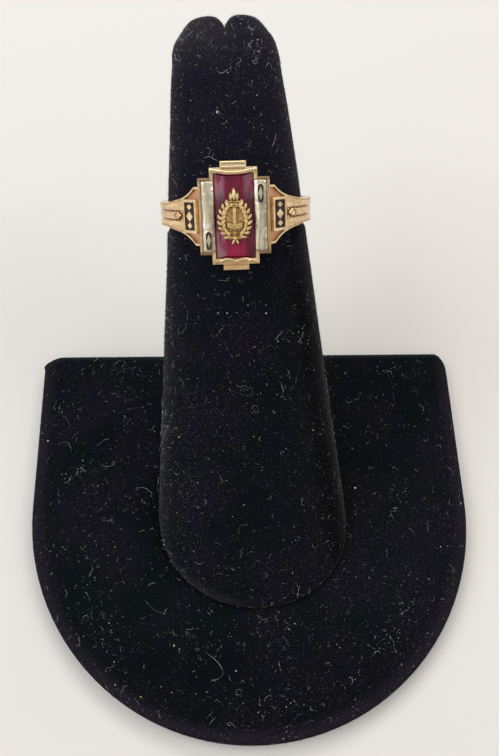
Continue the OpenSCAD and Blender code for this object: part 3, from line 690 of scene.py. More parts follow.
def plate_shape(cartouche_at):
    """A half round side plate, with an oval cartouche round a raised lozenge."""
    wide, tall = PLATE_HALF

    def shape(x, z):
        inside = np.minimum(wide - np.abs(x), tall - np.abs(z))
        crown = 0.2 * (1 - np.abs(x / wide) ** 2.6)
        ends = 0.1 * (1 - dome(tall - np.abs(z), 0.25))
        height = FACE_AT - 0.01 + crown - ends
        reach = np.maximum(np.abs(z - cartouche_at) - CARTOUCHE_HALF[1] + CARTOUCHE_HALF[0], 0)
        oval = CARTOUCHE_HALF[0] - np.hypot(x, reach)
        rim = np.where(oval > 0, FACE_AT + 0.19 + 0.05 * dome(oval, 0.08), 0)
        height = np.maximum(height, rim)
        sunk = np.clip((oval - 0.1) / 0.05, 0, 1)
        lozenge = np.minimum(1 - np.abs(x) / 0.3 - np.abs(z - cartouche_at) / 0.95, 0.5)
        floor = FACE_AT + 0.02 + np.clip(lozenge, 0, 0.2) * 1.1
        return inside, height * (1 - sunk) + floor * sunk

    return shape


def shoulder_relief_shape(x, z):
    """A hollow lozenge and small leaves beyond a shoulder panel; x runs down the slope from the head."""
    inside = np.full(x.shape, -9.0)
    height = np.full(x.shape, -0.3)

    def lay(shape, level, rise, half):
        nonlocal inside, height
        inside = np.maximum(inside, shape)
        height = np.maximum(height, np.where(shape > -0.02, level + rise * dome(shape, half), -0.3))

    lozenge = (1 - np.abs(x - 4.4) / 0.74 - np.abs(z) / 0.49) * 0.41
    lay(lozenge, 0.04, 0.02, 0.1)
    lay(np.minimum(lozenge, 0.15 - lozenge), 0.08, 0.1, 0.07)
    for side in (-1, 1):
        for along, across, aim, length in ((4.68, 0.26, 24, 0.86), (3.95, 0.36, 160, 0.6)):
            lay(leaf_inside(x, z, (along, side * across), side * aim, length, 0.3)[0], -0.26, 0.34, 0.12)
    return inside, height


def bead_line(side, radius, pitch):
    """Points and faces of a row of small beads along one long edge of the head."""
    rings, around = 4, 8
    turn = np.linspace(0, 2 * np.pi, around, endpoint=False)
    level = np.linspace(0.12, np.pi / 2 + 0.3, rings)
    cap = [(0, -1.0, 0)]
    for angle in level:
        wide = math.sin(angle)
        cap += [(wide * math.cos(t), -math.cos(angle), wide * math.sin(t)) for t in turn]
    cap = np.array(cap) * radius
    faces = [(0, 1 + (k + 1) % around, 1 + k) for k in range(around)]
    faces += [tuple(1 + i for i in f) for f in grid_faces(rings, around)[:, ::-1]]
    count = int(round(2 * BEADS_HALF / pitch))
    points, all_faces = [], []
    for k in range(count + 1):
        z = -BEADS_HALF + 2 * BEADS_HALF * k / count
        all_faces += [tuple(i + len(points) * len(cap) for i in f) for f in faces]
        points.append(cap + (side * BEADS_AT, -BEADS_LEVEL, z))
    return np.concatenate(points), all_faces


# Velvet pieces


def smooth_rows(table, count):
    """Points on a smooth line through the rows of a table."""
    table = np.asarray(table, float)
    spans = len(table) - 1
    place = np.linspace(0, spans, count)
    low = np.minimum(place.astype(int), spans - 1)
    t = (place - low)[:, None]
    padded = np.concatenate([table[:1] * 2 - table[1:2], table, table[-1:] * 2 - table[-2:-1]])
    a, b, c, d = (padded[low + k] for k in range(4))
    return 0.5 * (2 * b + (c - a) * t + (2 * a - 5 * b + 4 * c - d) * t**2 + (3 * b - a - 3 * c + d) * t**3)


def waves(points, seed, size, terms=10):
    """A smooth random height over points, about 1 high, with waves of roughly the given length."""
    rng = np.random.default_rng(seed)
    total = np.zeros(len(points))
    for _ in range(terms):
        aim = rng.normal(size=3)
        aim *= 2 * np.pi / size * rng.uniform(0.6, 1.6) / np.linalg.norm(aim)
        total += np.sin(points @ aim + rng.uniform(0, 2 * np.pi))
    return total / terms * 1.6


def finger_side(u, angle, inset=0.0):
    """A point on the finger's side in its own millimetres, pressed in where the ring sits."""
    wide = FOOT_WIDTH / 2 - WIDTH_FALL * u - inset
    below = (FOOT_DEPTH / 2) + (BORE_R - RING_SLACK - FOOT_DEPTH / 2) * u / RING_ALONG
    share = (u - RING_ALONG) / (FINGER_LENGTH - RING_ALONG)
    above = BORE_R - RING_SLACK + (TIP_DEPTH / 2 - BORE_R + RING_SLACK) * share
    deep = np.where(u < RING_ALONG, below, above) - inset
    x, y = wide * np.sin(angle), -deep * np.cos(angle)
    away = np.degrees(np.minimum(angle, 2 * np.pi - angle))
    t = np.clip((HEAD_TURN - away) / SHOULDER_TURN, 0, 1)
    low = SHANK_SIDE / 2 + 0.2
    reach = low + (HEAD_Z + 0.25 - low) * t * t * (3 - 2 * t)
    limit = SEAT_R + 0.5 * np.maximum(0, np.abs(u - RING_ALONG) - reach)
    press = np.minimum(1, limit / np.hypot(x, y))
    return np.stack([x * press, y * press, u + 0 * x], -1)


def foot_start(height, inset, angle):
    """How far up the finger a level row round its foot lies."""
    lean, sway = math.radians(FINGER_LEAN), math.radians(FINGER_SWAY)
    up = (math.cos(lean) * math.sin(sway), -math.sin(lean), math.cos(lean) * math.cos(sway))
    depth_fall = (FOOT_DEPTH / 2 - BORE_R + RING_SLACK) / RING_ALONG
    wide, deep = FOOT_WIDTH / 2 - inset, FOOT_DEPTH / 2 - inset
    level = BASE_TOP + FOOT_GAP + height
    rest = level - up[0] * wide * np.sin(angle) + up[1] * deep * np.cos(angle)
    return rest / (up[2] - up[0] * WIDTH_FALL * np.sin(angle) + up[1] * depth_fall * np.cos(angle))


# The rounded tip by rows: the share of its height, and how far out it lies, 1 at the edge and 0 at the crest
DOME_ROWS = [
    (0, 1), (0.22, 0.968), (0.42, 0.9), (0.54, 0.815), (0.64, 0.722), (0.74, 0.635), (0.84, 0.54),
    (0.935, 0.415), (0.985, 0.265), (1.01, 0.05), (1.005, -0.16), (1, -0.34), (1, -0.46),
]


def finger_mesh(around):
    """Points in metres and faces of the whole finger, from its rolled foot to its cleft tip."""
    angle = np.linspace(0, 2 * np.pi, around, endpoint=False)
    rows = []
    for height in np.linspace(0, 1, 9):
        inset = FOOT_ROLL * (1 - math.sqrt(1 - (1 - height) ** 2))
        rows.append(finger_side(foot_start(FOOT_ROLL * height, inset, angle), angle, inset))
    start = foot_start(FOOT_ROLL, 0, angle)
    ring_low = RING_ALONG - HEAD_Z - 0.3
    for share in np.linspace(0, 1, 72)[1:]:
        rows.append(finger_side(start + (ring_low - start) * share, angle))
    dome_at = FINGER_LENGTH - TIP_HEIGHT
    for u in np.linspace(ring_low, dome_at, 84)[1:-1]:
        rows.append(finger_side(np.full(around, u), angle))
    base = finger_side(np.full(around, dome_at), angle)
    dome_rows = smooth_rows(DOME_ROWS, 53)
    for _ in range(4):
        dome_rows[1:-1] = (dome_rows[:-2] + 2 * dome_rows[1:-1] + dome_rows[2:]) / 4
    for rise, spread in dome_rows:
        share = CREST_SHARE + spread * (CREST_SHARE * 2 if spread < 0 else 1 - CREST_SHARE)
        x = base[:, 0] * share
        cleft = CLEFT_DEPTH * np.exp(-np.abs(x) / CLEFT_WIDTH) * rise**2
        u = FINGER_LENGTH - TIP_HEIGHT * (1 - rise) - cleft
        rows.append(np.stack([x - TIP_BEND * min(1, rise * 4), base[:, 1] * share, u], -1))
    points = np.concatenate(rows + [[[-TIP_BEND, 0, FINGER_LENGTH - CLEFT_DEPTH]]])
    x, u = points[:, 0], points[:, 2]
    x = x * (1 + 0.016 * hump(u, 53, 16)) + 0.03 - 0.1 * hump(u, 64, 2.8)
    points[:, 0] = x + np.where(x < 0, 0.1 * hump(u, 41, 5) - 0.08 * hump(u, 60.5, 3.5), 0)
    count = len(rows)
    faces = grid_faces(count, around)[:, ::-1].tolist()
    top = (count - 1) * around
    faces += [(top + k, top + (k + 1) % around, len(points) - 1) for k in range(around)]
    faces.append(list(range(around - 1, -1, -1)))
    return points, faces


# The base's worn back corners: side, width, depth and bulge
BACK_CORNERS = ((-1, 2.9, 2.5, 0.3), (1, 1.9, 3.3, 0))


def base_outline(inset, count):
    """Points round the base, inset from its outline, with a round front and two worn back corners."""
    side = BASE_RADIUS - inset
    marks = [(side * math.cos(t), -side * math.sin(t)) for t in np.linspace(0, math.pi, 181)]
    for flip, wide, deep, bulge in BACK_CORNERS:
        for turn in range(0, 91, 3) if flip < 0 else range(90, -1, -3):
            nub = bulge * hump(turn, 16, 24 if turn > 16 else 6)
            out = (math.cos(math.radians(turn)), math.sin(math.radians(turn)))
            x = BASE_RADIUS - wide + (wide - inset + nub) * out[0]
            marks.append((flip * x, BASE_STRAIGHT - deep + (deep - inset + nub) * out[1]))
    marks.append(marks[0])
    marks = np.array(marks)
    marks[:, 0] += 0.006 * np.maximum(marks[:, 1], 0)
    steps = np.hypot(*np.diff(marks, axis=0).T)
    corner = (marks[1:, 1] > BASE_STRAIGHT - 4) & (np.abs(marks[1:, 0]) > BASE_RADIUS - 4)
    run = np.concatenate([[0], np.cumsum(steps * np.where(corner, 5, 1))])
    share = np.linspace(0, run[-1], count, endpoint=False)
    return np.stack([np.interp(share, run, marks[:, i]) for i in (0, 1)], -1)


def base_mesh(around):
    """Points in millimetres and faces of the covered base, bottom to top."""
    rows = []
    middle = (0.0, -2.0)

    def flat(inset, level, shrink=1.0):
        outline = base_outline(inset, around)
        place = (outline - middle) * shrink + middle
        rows.append(np.column_stack([place, np.full(around, level)]))

    for shrink in (0.3, 0.6, 0.9):
        flat(BASE_EDGE, BASE_LOW, shrink)
    for turn in np.linspace(-90, 0, 7):
        t = math.radians(turn)
        flat(BASE_EDGE * (1 - math.cos(t)), BASE_LOW + BASE_EDGE * (1 + math.sin(t)))
    for turn in np.linspace(0, 90, 9):
        t = math.radians(turn)
        flat(BASE_EDGE * (1 - math.cos(t)), BASE_TOP - BASE_EDGE * (1 - math.sin(t)))
    for shrink in np.linspace(1, 0, 62)[1:-1]:
        flat(BASE_EDGE, BASE_TOP, shrink)
    points = np.concatenate(rows + [[[*middle, BASE_TOP], [*middle, BASE_LOW]]])
    faces = grid_faces(len(rows), around)[:, ::-1].tolist()
    top = (len(rows) - 1) * around
    faces += [(top + k, len(points) - 2, top + (k + 1) % around) for k in range(around)]
    faces += [(k, (k + 1) % around, len(points) - 1) for k in range(around)]
    faces = [f[::-1] for f in faces]
    return points, faces


def surface_sample(piece, count, rng, keep):
    """Random places and normals on a piece, spread by area."""
    mesh = piece.data
    mesh.calc_loop_triangles()
    corners = np.zeros(len(mesh.vertices) * 3)
    mesh.vertices.foreach_get("co", corners)
    corners = corners.reshape(-1, 3) / MM
    triangles = np.zeros(len(mesh.loop_triangles) * 3, int)
    mesh.loop_triangles.foreach_get("vertices", triangles)
    a, b, c = (corners[triangles.reshape(-1, 3)[:, i]] for i in range(3))
    normal = np.cross(b - a, c - a)
    area = np.linalg.norm(normal, axis=1)
    normal = normal / np.maximum(area, 1e-12)[:, None]
    area = area * keep((a + b + c) / 3, normal)
    chosen = rng.choice(len(area), count, p=area / area.sum())
    u, v = rng.random(count), rng.random(count)
    flip = u + v > 1
    u, v = np.where(flip, 1 - u, u), np.where(flip, 1 - v, v)
    place = a[chosen] + (b - a)[chosen] * u[:, None] + (c - a)[chosen] * v[:, None]
    return place, normal[chosen]


def tangents(normal):
    """Two directions along the surface for each normal."""
    helper = np.where(np.abs(normal[:, 2:3]) < 0.9, [[0, 0, 1.0]], [[1.0, 0, 0]])
    first = np.cross(normal, helper)
    first /= np.linalg.norm(first, axis=1, keepdims=True)
    return first, np.cross(normal, first)


def thread(path, radius):
    """Points and faces of a thin three sided tube along a path, closed at both ends."""
    path = np.asarray(path, float)
    aim = np.gradient(path, axis=0)
    aim /= np.maximum(np.linalg.norm(aim, axis=1, keepdims=True), 1e-9)
    side = np.cross(aim, [0.3, 0.2, 0.93])
    side /= np.maximum(np.linalg.norm(side, axis=1, keepdims=True), 1e-9)
    up = np.cross(side, aim)
    thin = np.full(len(path), radius)
    thin[[0, -1]] *= 0.4
    ring = [path + thin[:, None] * (math.cos(t) * side + math.sin(t) * up) for t in (0, 2.094, 4.189)]
    points = np.stack(ring, 1).reshape(-1, 3)
    faces = []
    for k in range(len(path) - 1):
        for s in range(3):
            a, b = 3 * k + s, 3 * k + (s + 1) % 3
            faces.append((a, b, b + 3, a + 3))
    last = 3 * (len(path) - 1)
    faces += [(2, 1, 0), (last, last + 1, last + 2)]
    return points, faces


def joined(parts):
    """One set of points and faces from many."""
    points, faces, start = [], [], 0
    for these, sides in parts:
        points.append(these)
        faces += [tuple(i + start for i in f) for f in sides]
        start += len(these)
    return np.concatenate(points), faces


def grain(place, aims, radius):
    """A small rounded speck: aims are three directions, the last of them outward."""
    a, b, c = aims
    reach = radius * np.array([1.0, 0.8, 1.1, 0.75, 0.9, 1.0])
    points = [place + aim * size for aim, size in zip((a, b, -a, -b, c, -c), reach)]
    faces = [(0, 1, 4), (1, 2, 4), (2, 3, 4), (3, 0, 4), (1, 0, 5), (2, 1, 5), (3, 2, 5), (0, 3, 5)]
    return np.array(points), faces


def lint_parts(place, normal, rng, fibres):
    """Fine curly fibres at the first places and small specks at the rest."""
    first, second = tangents(normal)
    parts = []
    for k in range(len(place)):
        turn = rng.uniform(0, 2 * np.pi)
        start = place[k] + normal[k] * LINT_LIFT
        if k < fibres:
            length = min(0.18 + rng.exponential(0.4), 3.2)
            steps = 3 if length < 0.4 else 8
            bend = rng.normal(0, 0.3)
            path = [start]
            for step in range(steps):
                turn += bend + rng.normal(0, 0.42)
                move = first[k] * math.cos(turn) + second[k] * math.sin(turn)
                lift = normal[k] * 0.04 * math.sin(math.pi * (step + 1) / steps)
                path.append(path[-1] + move * length / steps + lift * rng.uniform(-0.3, 0.6))
            parts.append(thread(path, rng.uniform(0.004, 0.0105)))
        else:
            radius = 0.015 + min(rng.exponential(0.016), 0.08)
            move = first[k] * math.cos(turn) + second[k] * math.sin(turn)
            parts.append(grain(start, (move, np.cross(normal[k], move), normal[k]), radius))
    return parts


# Long fibres as points of their curves, and large specks, each with its radius. Those on the base have
# their x and y, and those on the finger's front their x and how far along it they lie.
BASE_FIBRES = (
    ((-7.23, -20.12), (-6.15, -20.92), (-5.21, -21.83), (-4.69, -22.86), (-5.11, -23.6), (-6.32, -23.93)),
    ((-15.24, -13.35), (-14.53, -14.17), (-13.55, -14.86), (-12.44, -15.16)),
    ((-13.75, 4.4), (-13.85, 3.3), (-13.9, 2.4), (-13.3, 1.5), (-12.7, 0.7)),
    ((-17.07, 2.75), (-15.9, 2.73), (-15.15, 2.26), (-14.41, 1.65)),
    ((-22.82, 6.98), (-22.2, 6.35), (-21.3, 6.03), (-20.43, 6.47), (-20.6, 7.0)),
    ((-22.9, 9.3), (-22.2, 10.1), (-21.4, 10.4)),
    ((-28.9, 9.7), (-27.6, 10.0), (-27.0, 9.2), (-26.8, 8.5)),
)
BASE_GRAINS = (
    (-30.42, 10.23, 0.16), (-15.53, 6.08, 0.13), (-13.53, 11.24, 0.09), (-27.42, 5.07, 0.11),
    (15.48, 2.13, 0.2), (-11.31, -19.36, 0.12), (-2.45, -14.49, 0.1), (-2.93, -22.79, 0.14),
    (-8.34, -25.48, 0.11), (-6.87, -25.28, 0.09),
)
FINGER_GRAINS = (
    (-1.65, 59.45, 0.13), (8.56, 18.98, 0.12), (-9.31, 19.06, 0.1), (-9.63, 20.2, 0.08),
    (0.67, 36.87, 0.11), (2.91, 36.67, 0.09), (2.86, 35.67, 0.14), (-1.96, 36.01, 0.11),
    (-3.06, 36.03, 0.1), (4.23, 31.92, 0.08),
)
FINGER_FIBRES = (
    ((-3.51, 54.41), (-2.92, 54.55), (-2.46, 54.3), (-2.01, 54.0)),
    ((4.58, 55.14), (4.94, 55.81), (5.19, 56.55)),
    ((7.11, 54.82), (7.5, 54.34), (7.5, 53.62)),
    ((-6.77, 62.15), (-6.41, 61.52), (-5.92, 61.2), (-5.82, 60.85)),
    ((1.83, 66.64), (2.15, 66.2), (2.66, 66.75), (2.93, 67.1)),
    ((-1.35, 63.94), (-0.79, 63.68), (-0.08, 64.08)),
    ((4.38, 26.27), (4.61, 25.43), (4.45, 24.78), (4.95, 24.02)),
)
AMBER_GRAIN = (-15.62, -25.61, 0.17)
CHOSEN_THREAD = 0.011


def chosen_lint(name):
    """The long fibres and large specks of one velvet piece."""

    def arched(marks, low, rise):
        line = smooth_rows(marks, 6 * len(marks))
        return line, low + rise * np.sin(np.linspace(0, np.pi, len(line)))

    def on_front(marks, lift):
        x, along = np.asarray(marks, float).T
        spots = finger_side(along, np.arcsin(x / (FOOT_WIDTH / 2 - WIDTH_FALL * along)))
        return placed(spots - np.outer(lift, (0, 1, 0)), ON_FINGER) / MM

    parts = []
    if name == "velvet_base":
        for marks in BASE_FIBRES:
            line, lift = arched(marks, LINT_LIFT, 0.12)
            parts.append(thread(np.column_stack([line, BASE_TOP + lift]), CHOSEN_THREAD))
        for x, y, radius in BASE_GRAINS:
            parts.append(grain(np.array((x, y, BASE_TOP + GRAIN_LIFT)), np.eye(3), radius))
        return parts
    for marks in FINGER_FIBRES:
        parts.append(thread(on_front(*arched(marks, 0.07, 0.1)), CHOSEN_THREAD))
    for x, along, radius in FINGER_GRAINS:
        spot = on_front([(x, along)], [GRAIN_LIFT])[0]
        parts.append(grain(spot, np.array(ON_FINGER.to_3x3()).T, radius))
    return parts


def pile_parts(place, normal, rng):
    """Short hairs that stand on the velvet, each a single slim triangle."""
    first, second = tangents(normal)
    turn = rng.uniform(0, 2 * np.pi, len(place))
    side = first * np.cos(turn)[:, None] + second * np.sin(turn)[:, None]
    lean = first * np.sin(turn)[:, None] - second * np.cos(turn)[:, None]
    length = rng.uniform(0.10, 0.24, len(place))[:, None]
    tip = place + normal * length + lean * length * rng.uniform(0.1, 0.6, len(place))[:, None]
    points = np.stack([place - side * PILE_HALF, place + side * PILE_HALF, tip], 1).reshape(-1, 3)
    return points, np.arange(len(points)).reshape(-1, 3)


# Settings


class RingLook(bpy.types.PropertyGroup):
    gold: FloatVectorProperty(
        name="Gold",
        description="Colour of the ring's polished gold",
        subtype="COLOR",
        default=(0.91, 0.67, 0.385),
    )
    edge_softness: FloatProperty(
        name="Edge softness",
        description="Width of the rounding on cast edges, in millimetres",
        default=0.05,
        min=0.0,
        max=0.1,
    )
    bead_radius: FloatProperty(
        name="Bead radius",
        description="Radius of the small beads along the head, in millimetres",
        default=0.085,
        min=0.05,
        max=0.12,
    )
    bead_pitch: FloatProperty(
        name="Bead pitch",
        description="Distance between two beads, in millimetres",
        default=0.2,
        min=0.12,
        max=0.3,
    )


class StandLook(bpy.types.PropertyGroup):
    velvet: FloatVectorProperty(
        name="Velvet",
        description="Colour of the velvet's ground",
        subtype="COLOR",
        default=(0.0030, 0.0054, 0.0062),
    )
    fibres: IntProperty(
        name="Fibres", description="Lint fibres on each velvet piece", default=1550, min=0, max=3000
    )
    specks: IntProperty(
        name="Specks", description="Dust specks on each velvet piece", default=2400, min=0, max=6000
    )
    hairs: IntProperty(
        name="Hairs", description="Hairs of the pile on each velvet piece", default=30000, min=0, max=60000
    )


class StageLook(bpy.types.PropertyGroup):
    floor: FloatVectorProperty(
        name="Floor", description="Colour of the floor", subtype="COLOR", default=(0.785, 0.762, 0.730)
    )
    sky: FloatProperty(
        name="Room light",
        description="Strength of the light from all round",
        default=0.35,
        min=0.0,
        max=3.0,
    )
    lens: FloatProperty(
        name="Lens",
        description="Focal length of the camera",
        unit="CAMERA",
        default=35.24,
        min=10.0,
        max=200.0,
    )


# Operators


class RING_OT_finish_casting(bpy.types.Operator):
    """Give the cast ring its gold, its beads and its fine shoulder ornament"""

    bl_idname = "ring.finish_casting"
    bl_label = "Finish Casting"

    def execute(self, context):
        look = context.scene.ring_look
        gold = ring_gold("yellow_gold", tuple(look.gold))
        finish_node("ring_casting", gold, look.edge_softness)
        beads = joined([bead_line(side, look.bead_radius, look.bead_pitch) for side in (-1, 1)])
        new_piece("edge_beads", placed(beads[0], ON_RING), beads[1], gold)
        slope = math.atan2(SLOPE_END[1] - SLOPE_TOP[1], SLOPE_END[0] - SLOPE_TOP[0])
        for flip, word in SIDES:
            top = Matrix.Translation((flip * SLOPE_TOP[0], SLOPE_TOP[1], 0))
            to_part = ON_RING @ top @ Matrix.Rotation(flip * slope, 4, "Z")

            def shape(x, z):
                return shoulder_relief_shape(flip * x, z)

            name, half, centre = "shoulder_relief_" + word, (1.15, 0.66), (flip * 4.4, 0)
            relief_piece(name, 0.03, half, centre, shape, PANEL_BACK, to_part, gold)
        return {"FINISHED"}


class RING_OT_make_side_plates(bpy.types.Operator):
    """Make the two pale gold plates beside the stone"""

    bl_idname = "ring.make_side_plates"
    bl_label = "Make Side Plates"

    def execute(self, context):
        gold = pale_gold("pale_gold")
        for side, word in SIDES:
            to_part = ON_RING @ Matrix.Translation((side * PLATE_AT, 0, 0))
            name, half, shape = "side_bar_" + word, (0.75, 4.05), plate_shape(CARTOUCHES[word])
            plate = relief_piece(name, 0.05, half, (0, 0), shape, PLATE_BACK, to_part, gold)
            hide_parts("side_plate_" + word)
        return {"FINISHED"}


class RING_OT_finish_stone(bpy.types.Operator):
    """Polish the red stone"""

    bl_idname = "ring.finish_stone"
    bl_label = "Finish Stone"

    def execute(self, context):
        finish_node("stone", red_stone(), 0.16, 8)
        return {"FINISHED"}


class RING_OT_cast_emblem(bpy.types.Operator):
    """Cast the rounded relief of the emblem on the stone"""

    bl_idname = "ring.cast_emblem"
    bl_label = "Cast Emblem"

    def execute(self, context):
        gold = relief_gold("emblem_gold")
        name, half, centre, shape = "emblem_relief", (2.3, 3.5), (0, 0.02), emblem_shape
        emblem = relief_piece(name, 0.04, half, centre, shape, EMBLEM_BACK, ON_RING, gold)
        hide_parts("emblem")
        return {"FINISHED"}


class RING_OT_fill_enamel(bpy.types.Operator):
    """Fill the shoulder panels with black enamel"""

    bl_idname = "ring.fill_enamel"
    bl_label = "Fill Enamel"

    def execute(self, context):
        enamel = black_enamel()
        finish_node("enamel_left", enamel, 0.03)
        finish_node("enamel_right", enamel, 0.03)
        return {"FINISHED"}


class RING_OT_cover_finger(bpy.types.Operator):
    """Cover the leaning finger in black velvet"""

    bl_idname = "ring.cover_finger"
    bl_label = "Cover Finger"

    def execute(self, context):
        points, faces = finger_mesh(FINGER_POINTS)
        points[:, :2] *= (1 + 0.0022 * (waves(points, SEED, 9) - 1))[:, None]

        # Painted light and shade on the finger, by place along and across it
        def painted_finger_light(cloth, colour, _x, _y, z):
            across, _, along = cloth.split(cloth.place_in(ON_FINGER))
            left = across.rise(-5.5, -8.5)
            foot = (across - along * WIDTH_FALL).rise(-12.0, -13.9) * along.rise(36, 10)
            tip = along.rise(63, 67.5) * (across.rise(2.5, -2.5) * 0.5 + 0.3)
            roll = z.rise(BASE_TOP + 1.9, BASE_TOP + 0.7) * across.rise(2, -6)
            right = (across + along * WIDTH_FALL).rise(9.5, 12.0) * along.rise(50, 36)
            colour = cloth.coats(
                colour,
                # painted light: the upper finger lighter and more purple
                (z.rise(24, 53) * 0.45, (0.016, 0.0135, 0.031)),
                # painted shade along the right edge
                (right * 0.95, (0.0006, 0.0006, 0.0008)),
                # painted sheen on the foot's left edge, the tip and the rolled low foot
                ((foot * 0.04 + tip * 0.85 + roll * 0.68).at_most(1), (0.027, 0.025, 0.029)),
            )
            # the left side and the tip are marked as lit, for painted sheen on the pile tips
            return colour, left * 0.45 + tip * 0.5 + 0.12

        shades = (0.0040, 0.0056, 0.0074), (0.0070, 0.0060, 0.0098), (0.0060, 0.0054, 0.0125)
        cloth = velvet("finger_velvet", shades, 0.16, painted_finger_light)
        finger = new_piece("velvet_finger", placed(points, ON_FINGER), faces, cloth, 60)
        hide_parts("stand_finger")
        return {"FINISHED"}


class RING_OT_cover_base(bpy.types.Operator):
    """Cover the base in black velvet and give its board a raw finish"""

    bl_idname = "ring.cover_base"
    bl_label = "Cover Base"

    def execute(self, context):
        points, faces = base_mesh(BASE_POINTS)

        # Painted light and shade on the base, by place
        def painted_base_light(cloth, colour, x, y, _z):
            front = y.at_most(0)
            edge = ((x * x + front * front) ** 0.5).rise(29.4, 31.6)
            colour = cloth.coats(
                colour,
                # painted shade towards the front
                (y.rise(-12, -24) * 0.4, (0.0020, 0.0022, 0.0030)),
                # painted sheen round the outer edge
                (edge * 0.85, (0.0155, 0.0135, 0.0195)),
                # painted shade in hollows, as round the finger's foot
                (cloth.hollow(3.5).rise(0.1, 0.6) * 0.8, (0.0012, 0.0013, 0.0016)),
                # painted light: a teal rim of light along the back edge
                (y.rise(23.2, 24.2), (0.012, 0.026, 0.024)),
            )
            # the outer edge is marked as lit, for painted sheen on the pile tips
            return colour, edge * 0.3

        shades = tuple(context.scene.stand_look.velvet), (0.0060, 0.0053, 0.0088), (0.0048, 0.0054, 0.0115)
        cloth = velvet("base_velvet", shades, 0.05, painted_base_light)
        base = new_piece("velvet_base", points * MM, faces, cloth, 60)
        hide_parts("stand_base")
        finish_node("stand_backing", raw_board())
        return {"FINISHED"}


class RING_OT_scatter_lint(bpy.types.Operator):
    """Scatter lint over the velvet and raise its short pile"""

    bl_idname = "ring.scatter_lint"
    bl_label = "Scatter Lint"

    def execute(self, context):
        look = context.scene.stand_look
        rng = np.random.default_rng(SEED)
        lint = lint_fibre()

        def finger_open(place, _normal):
            back = np.array(ON_FINGER.inverted().to_3x3())
            local = (place - np.array(ON_FINGER.translation)) @ back.T
            bare = (np.abs(local[:, 2] - RING_ALONG) > RING_COVER) & (place[:, 2] > BASE_TOP + 0.4)
            share = local[:, 0] / (FOOT_WIDTH / 2 - WIDTH_FALL * local[:, 2])
            return bare * np.where((share < -0.85) & (share > -1), 2.4, 1)

        def base_open(_place, normal):
            return (normal[:, 2] > -0.1).astype(float)

        hair = pile_hair()
        for name, room in (("velvet_finger", finger_open), ("velvet_base", base_open)):
            piece = bpy.data.objects[name]

            def patchy(place, normal):
                clumps = 0.45 + np.maximum(waves(place, SEED, 12), 0) * 1.6
                more = 1 + 0.4 * (place[:, 2] > UPPER_LINT) + 1.8 * (place[:, 2] > TIP_LINT)
                return room(place, normal) * clumps * more

            place, normal = surface_sample(piece, look.fibres + look.specks, rng, patchy)
            points, faces = joined(lint_parts(place, normal, rng, look.fibres) + chosen_lint(name))
            new_piece(name.replace("velvet", "lint"), points * MM, faces, lint)
            place, normal = surface_sample(piece, look.hairs, rng, room)
            points, faces = pile_parts(place, normal, rng)
            new_piece(name.replace("velvet", "pile"), points * MM, faces, hair)
        spot = np.array([*AMBER_GRAIN[:2], BASE_TOP + GRAIN_LIFT])
        points, faces = grain(spot, np.eye(3), AMBER_GRAIN[2])
        new_piece("amber_speck", points * MM, faces, amber())
        return {"FINISHED"}


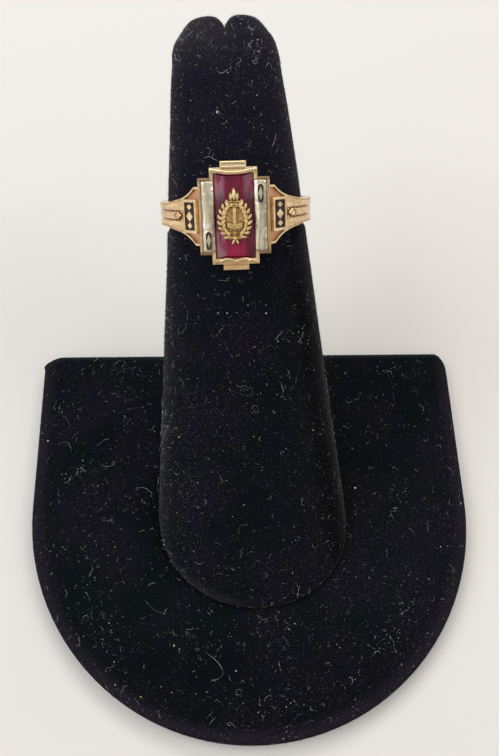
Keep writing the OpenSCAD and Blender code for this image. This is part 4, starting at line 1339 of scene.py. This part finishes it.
class RING_OT_set_stage(bpy.types.Operator):
    """Set the pale floor, the soft lights and the camera"""

    bl_idname = "ring.set_stage"
    bl_label = "Set Stage"

    def execute(self, context):
        look = context.scene.stage_look
        floor_finish = Finish("pale_floor")
        cloud = floor_finish.noise(floor_finish.place(), 0.02, 2)
        tint = tuple(look.floor)
        colour = floor_finish.mix(cloud, tint, tuple(c * 0.985 for c in tint))
        floor_finish.set(Base_Color=colour, Roughness=0.7, Specular_IOR_Level=0.2)
        mesh = bpy.data.meshes.new("floor")
        mesh.from_pydata([(-2, -2, 0), (2, -2, 0), (2, 2, 0), (-2, 2, 0)], [], [(0, 1, 2, 3)])
        mesh.materials.append(floor_finish.material)
        floor = bpy.data.objects.new("floor", mesh)
        context.scene.collection.objects.link(floor)
        self.add_lights(context)
        self.add_room(context, look.sky)
        self.add_camera(context, look.lens)
        context.scene.view_settings.view_transform = "Standard"
        return {"FINISHED"}

    def add_lights(self, context):
        target = Vector((0, 15, 20)) * MM
        lights = (
            ("window_left", (-0.54, 0.09, 0.50), (0.47, 0.47), 2.2, (0.95, 0.96, 1.0)),
            ("window_back", (0.09, 0.65, 0.54), (0.72, 0.29), 2.6, (1.0, 0.98, 0.95)),
            ("window_right", (0.58, 0.04, 0.47), (0.29, 0.47), 1.2, (1.0, 0.96, 0.90)),
        )
        for name, place, size, power, colour in lights:
            data = bpy.data.lights.new(name, "AREA")
            data.shape = "RECTANGLE"
            data.size, data.size_y = size
            data.energy = power
            data.color = colour
            lamp = bpy.data.objects.new(name, data)
            lamp.location = place
            lamp.rotation_euler = (target - Vector(place)).to_track_quat("-Z", "Y").to_euler()
            context.scene.collection.objects.link(lamp)

    def add_room(self, context, strength):
        """A pale room, brighter in four places that the gold and the stone mirror."""
        world = bpy.data.worlds.new("room")
        context.scene.world = world
        world.use_nodes = True
        room = NodeTree(world.node_tree)
        aim = room.add("ShaderNodeTexCoord")
        height = room.split(aim)[2]
        colour = room.mix(height.rise(-0.2, 0.85), (0.34, 0.32, 0.30), (1.0, 0.985, 0.96))
        for centre, outer, inner, tint in (
            ((-0.065, -0.62, 0.78), 21, 3, (1.95, 1.87, 1.72)),
            ((-0.05, 0.30, 0.95), 32, 20, (2.5, 2.45, 2.35)),
            ((-0.76, -0.50, 0.42), 28, 20, (3.2, 3.3, 3.5)),
            ((0.62, -0.30, 0.725), 19.5, 15.5, (2.6, 2.6, 2.7)),
        ):
            facing = room.add("ShaderNodeVectorMath", {"operation": "DOT_PRODUCT"}, [aim, centre], 1)
            outer, inner = (math.cos(math.radians(turn)) for turn in (outer, inner))
            colour = room.mix(facing.rise(outer, inner), colour, tint)
        shade = world.node_tree.nodes["Background"]
        room.feed(shade.inputs["Color"], colour)
        shade.inputs["Strength"].default_value = strength

    def add_camera(self, context, lens):
        data = bpy.data.cameras.new("camera")
        data.lens = lens
        data.sensor_width = 36
        data.clip_start = 0.005
        data.clip_end = 10
        camera = bpy.data.objects.new("camera", data)
        turn = Matrix((CAMERA_RIGHT, CAMERA_UP, CAMERA_RIGHT.cross(CAMERA_UP))).transposed()
        camera.matrix_world = Matrix.Translation(CAMERA_PLACE) @ turn.to_4x4()
        context.scene.collection.objects.link(camera)
        context.scene.camera = camera


STEPS = (
    RING_OT_finish_casting,
    RING_OT_make_side_plates,
    RING_OT_finish_stone,
    RING_OT_cast_emblem,
    RING_OT_fill_enamel,
    RING_OT_cover_finger,
    RING_OT_cover_base,
    RING_OT_scatter_lint,
    RING_OT_set_stage,
)


class RING_PT_panel(bpy.types.Panel):
    """Lists the steps that finish the ring and its stand"""

    bl_idname = "RING_PT_panel"
    bl_label = "Ring Stand"
    bl_space_type = "VIEW_3D"
    bl_region_type = "UI"
    bl_category = "Ring Stand"

    def draw(self, context):
        for group in ("ring_look", "stand_look", "stage_look"):
            settings = getattr(context.scene, group)
            box = self.layout.box()
            for key in settings.bl_rna.properties.keys():
                if key not in ("rna_type", "name"):
                    box.prop(settings, key)
        for step in STEPS:
            self.layout.operator(step.bl_idname)


GROUPS = {"ring_look": RingLook, "stand_look": StandLook, "stage_look": StageLook}


def register():
    for kind in (*GROUPS.values(), *STEPS, RING_PT_panel):
        bpy.utils.register_class(kind)
    for name, kind in GROUPS.items():
        setattr(bpy.types.Scene, name, PointerProperty(type=kind))


def unregister():
    for name in GROUPS:
        delattr(bpy.types.Scene, name)
    for kind in reversed((*GROUPS.values(), *STEPS, RING_PT_panel)):
        bpy.utils.unregister_class(kind)


def main():
    register()
    for step in STEPS:
        group, name = step.bl_idname.split(".")
        getattr(getattr(bpy.ops, group), name)()


if __name__ == "__main__":
    main()
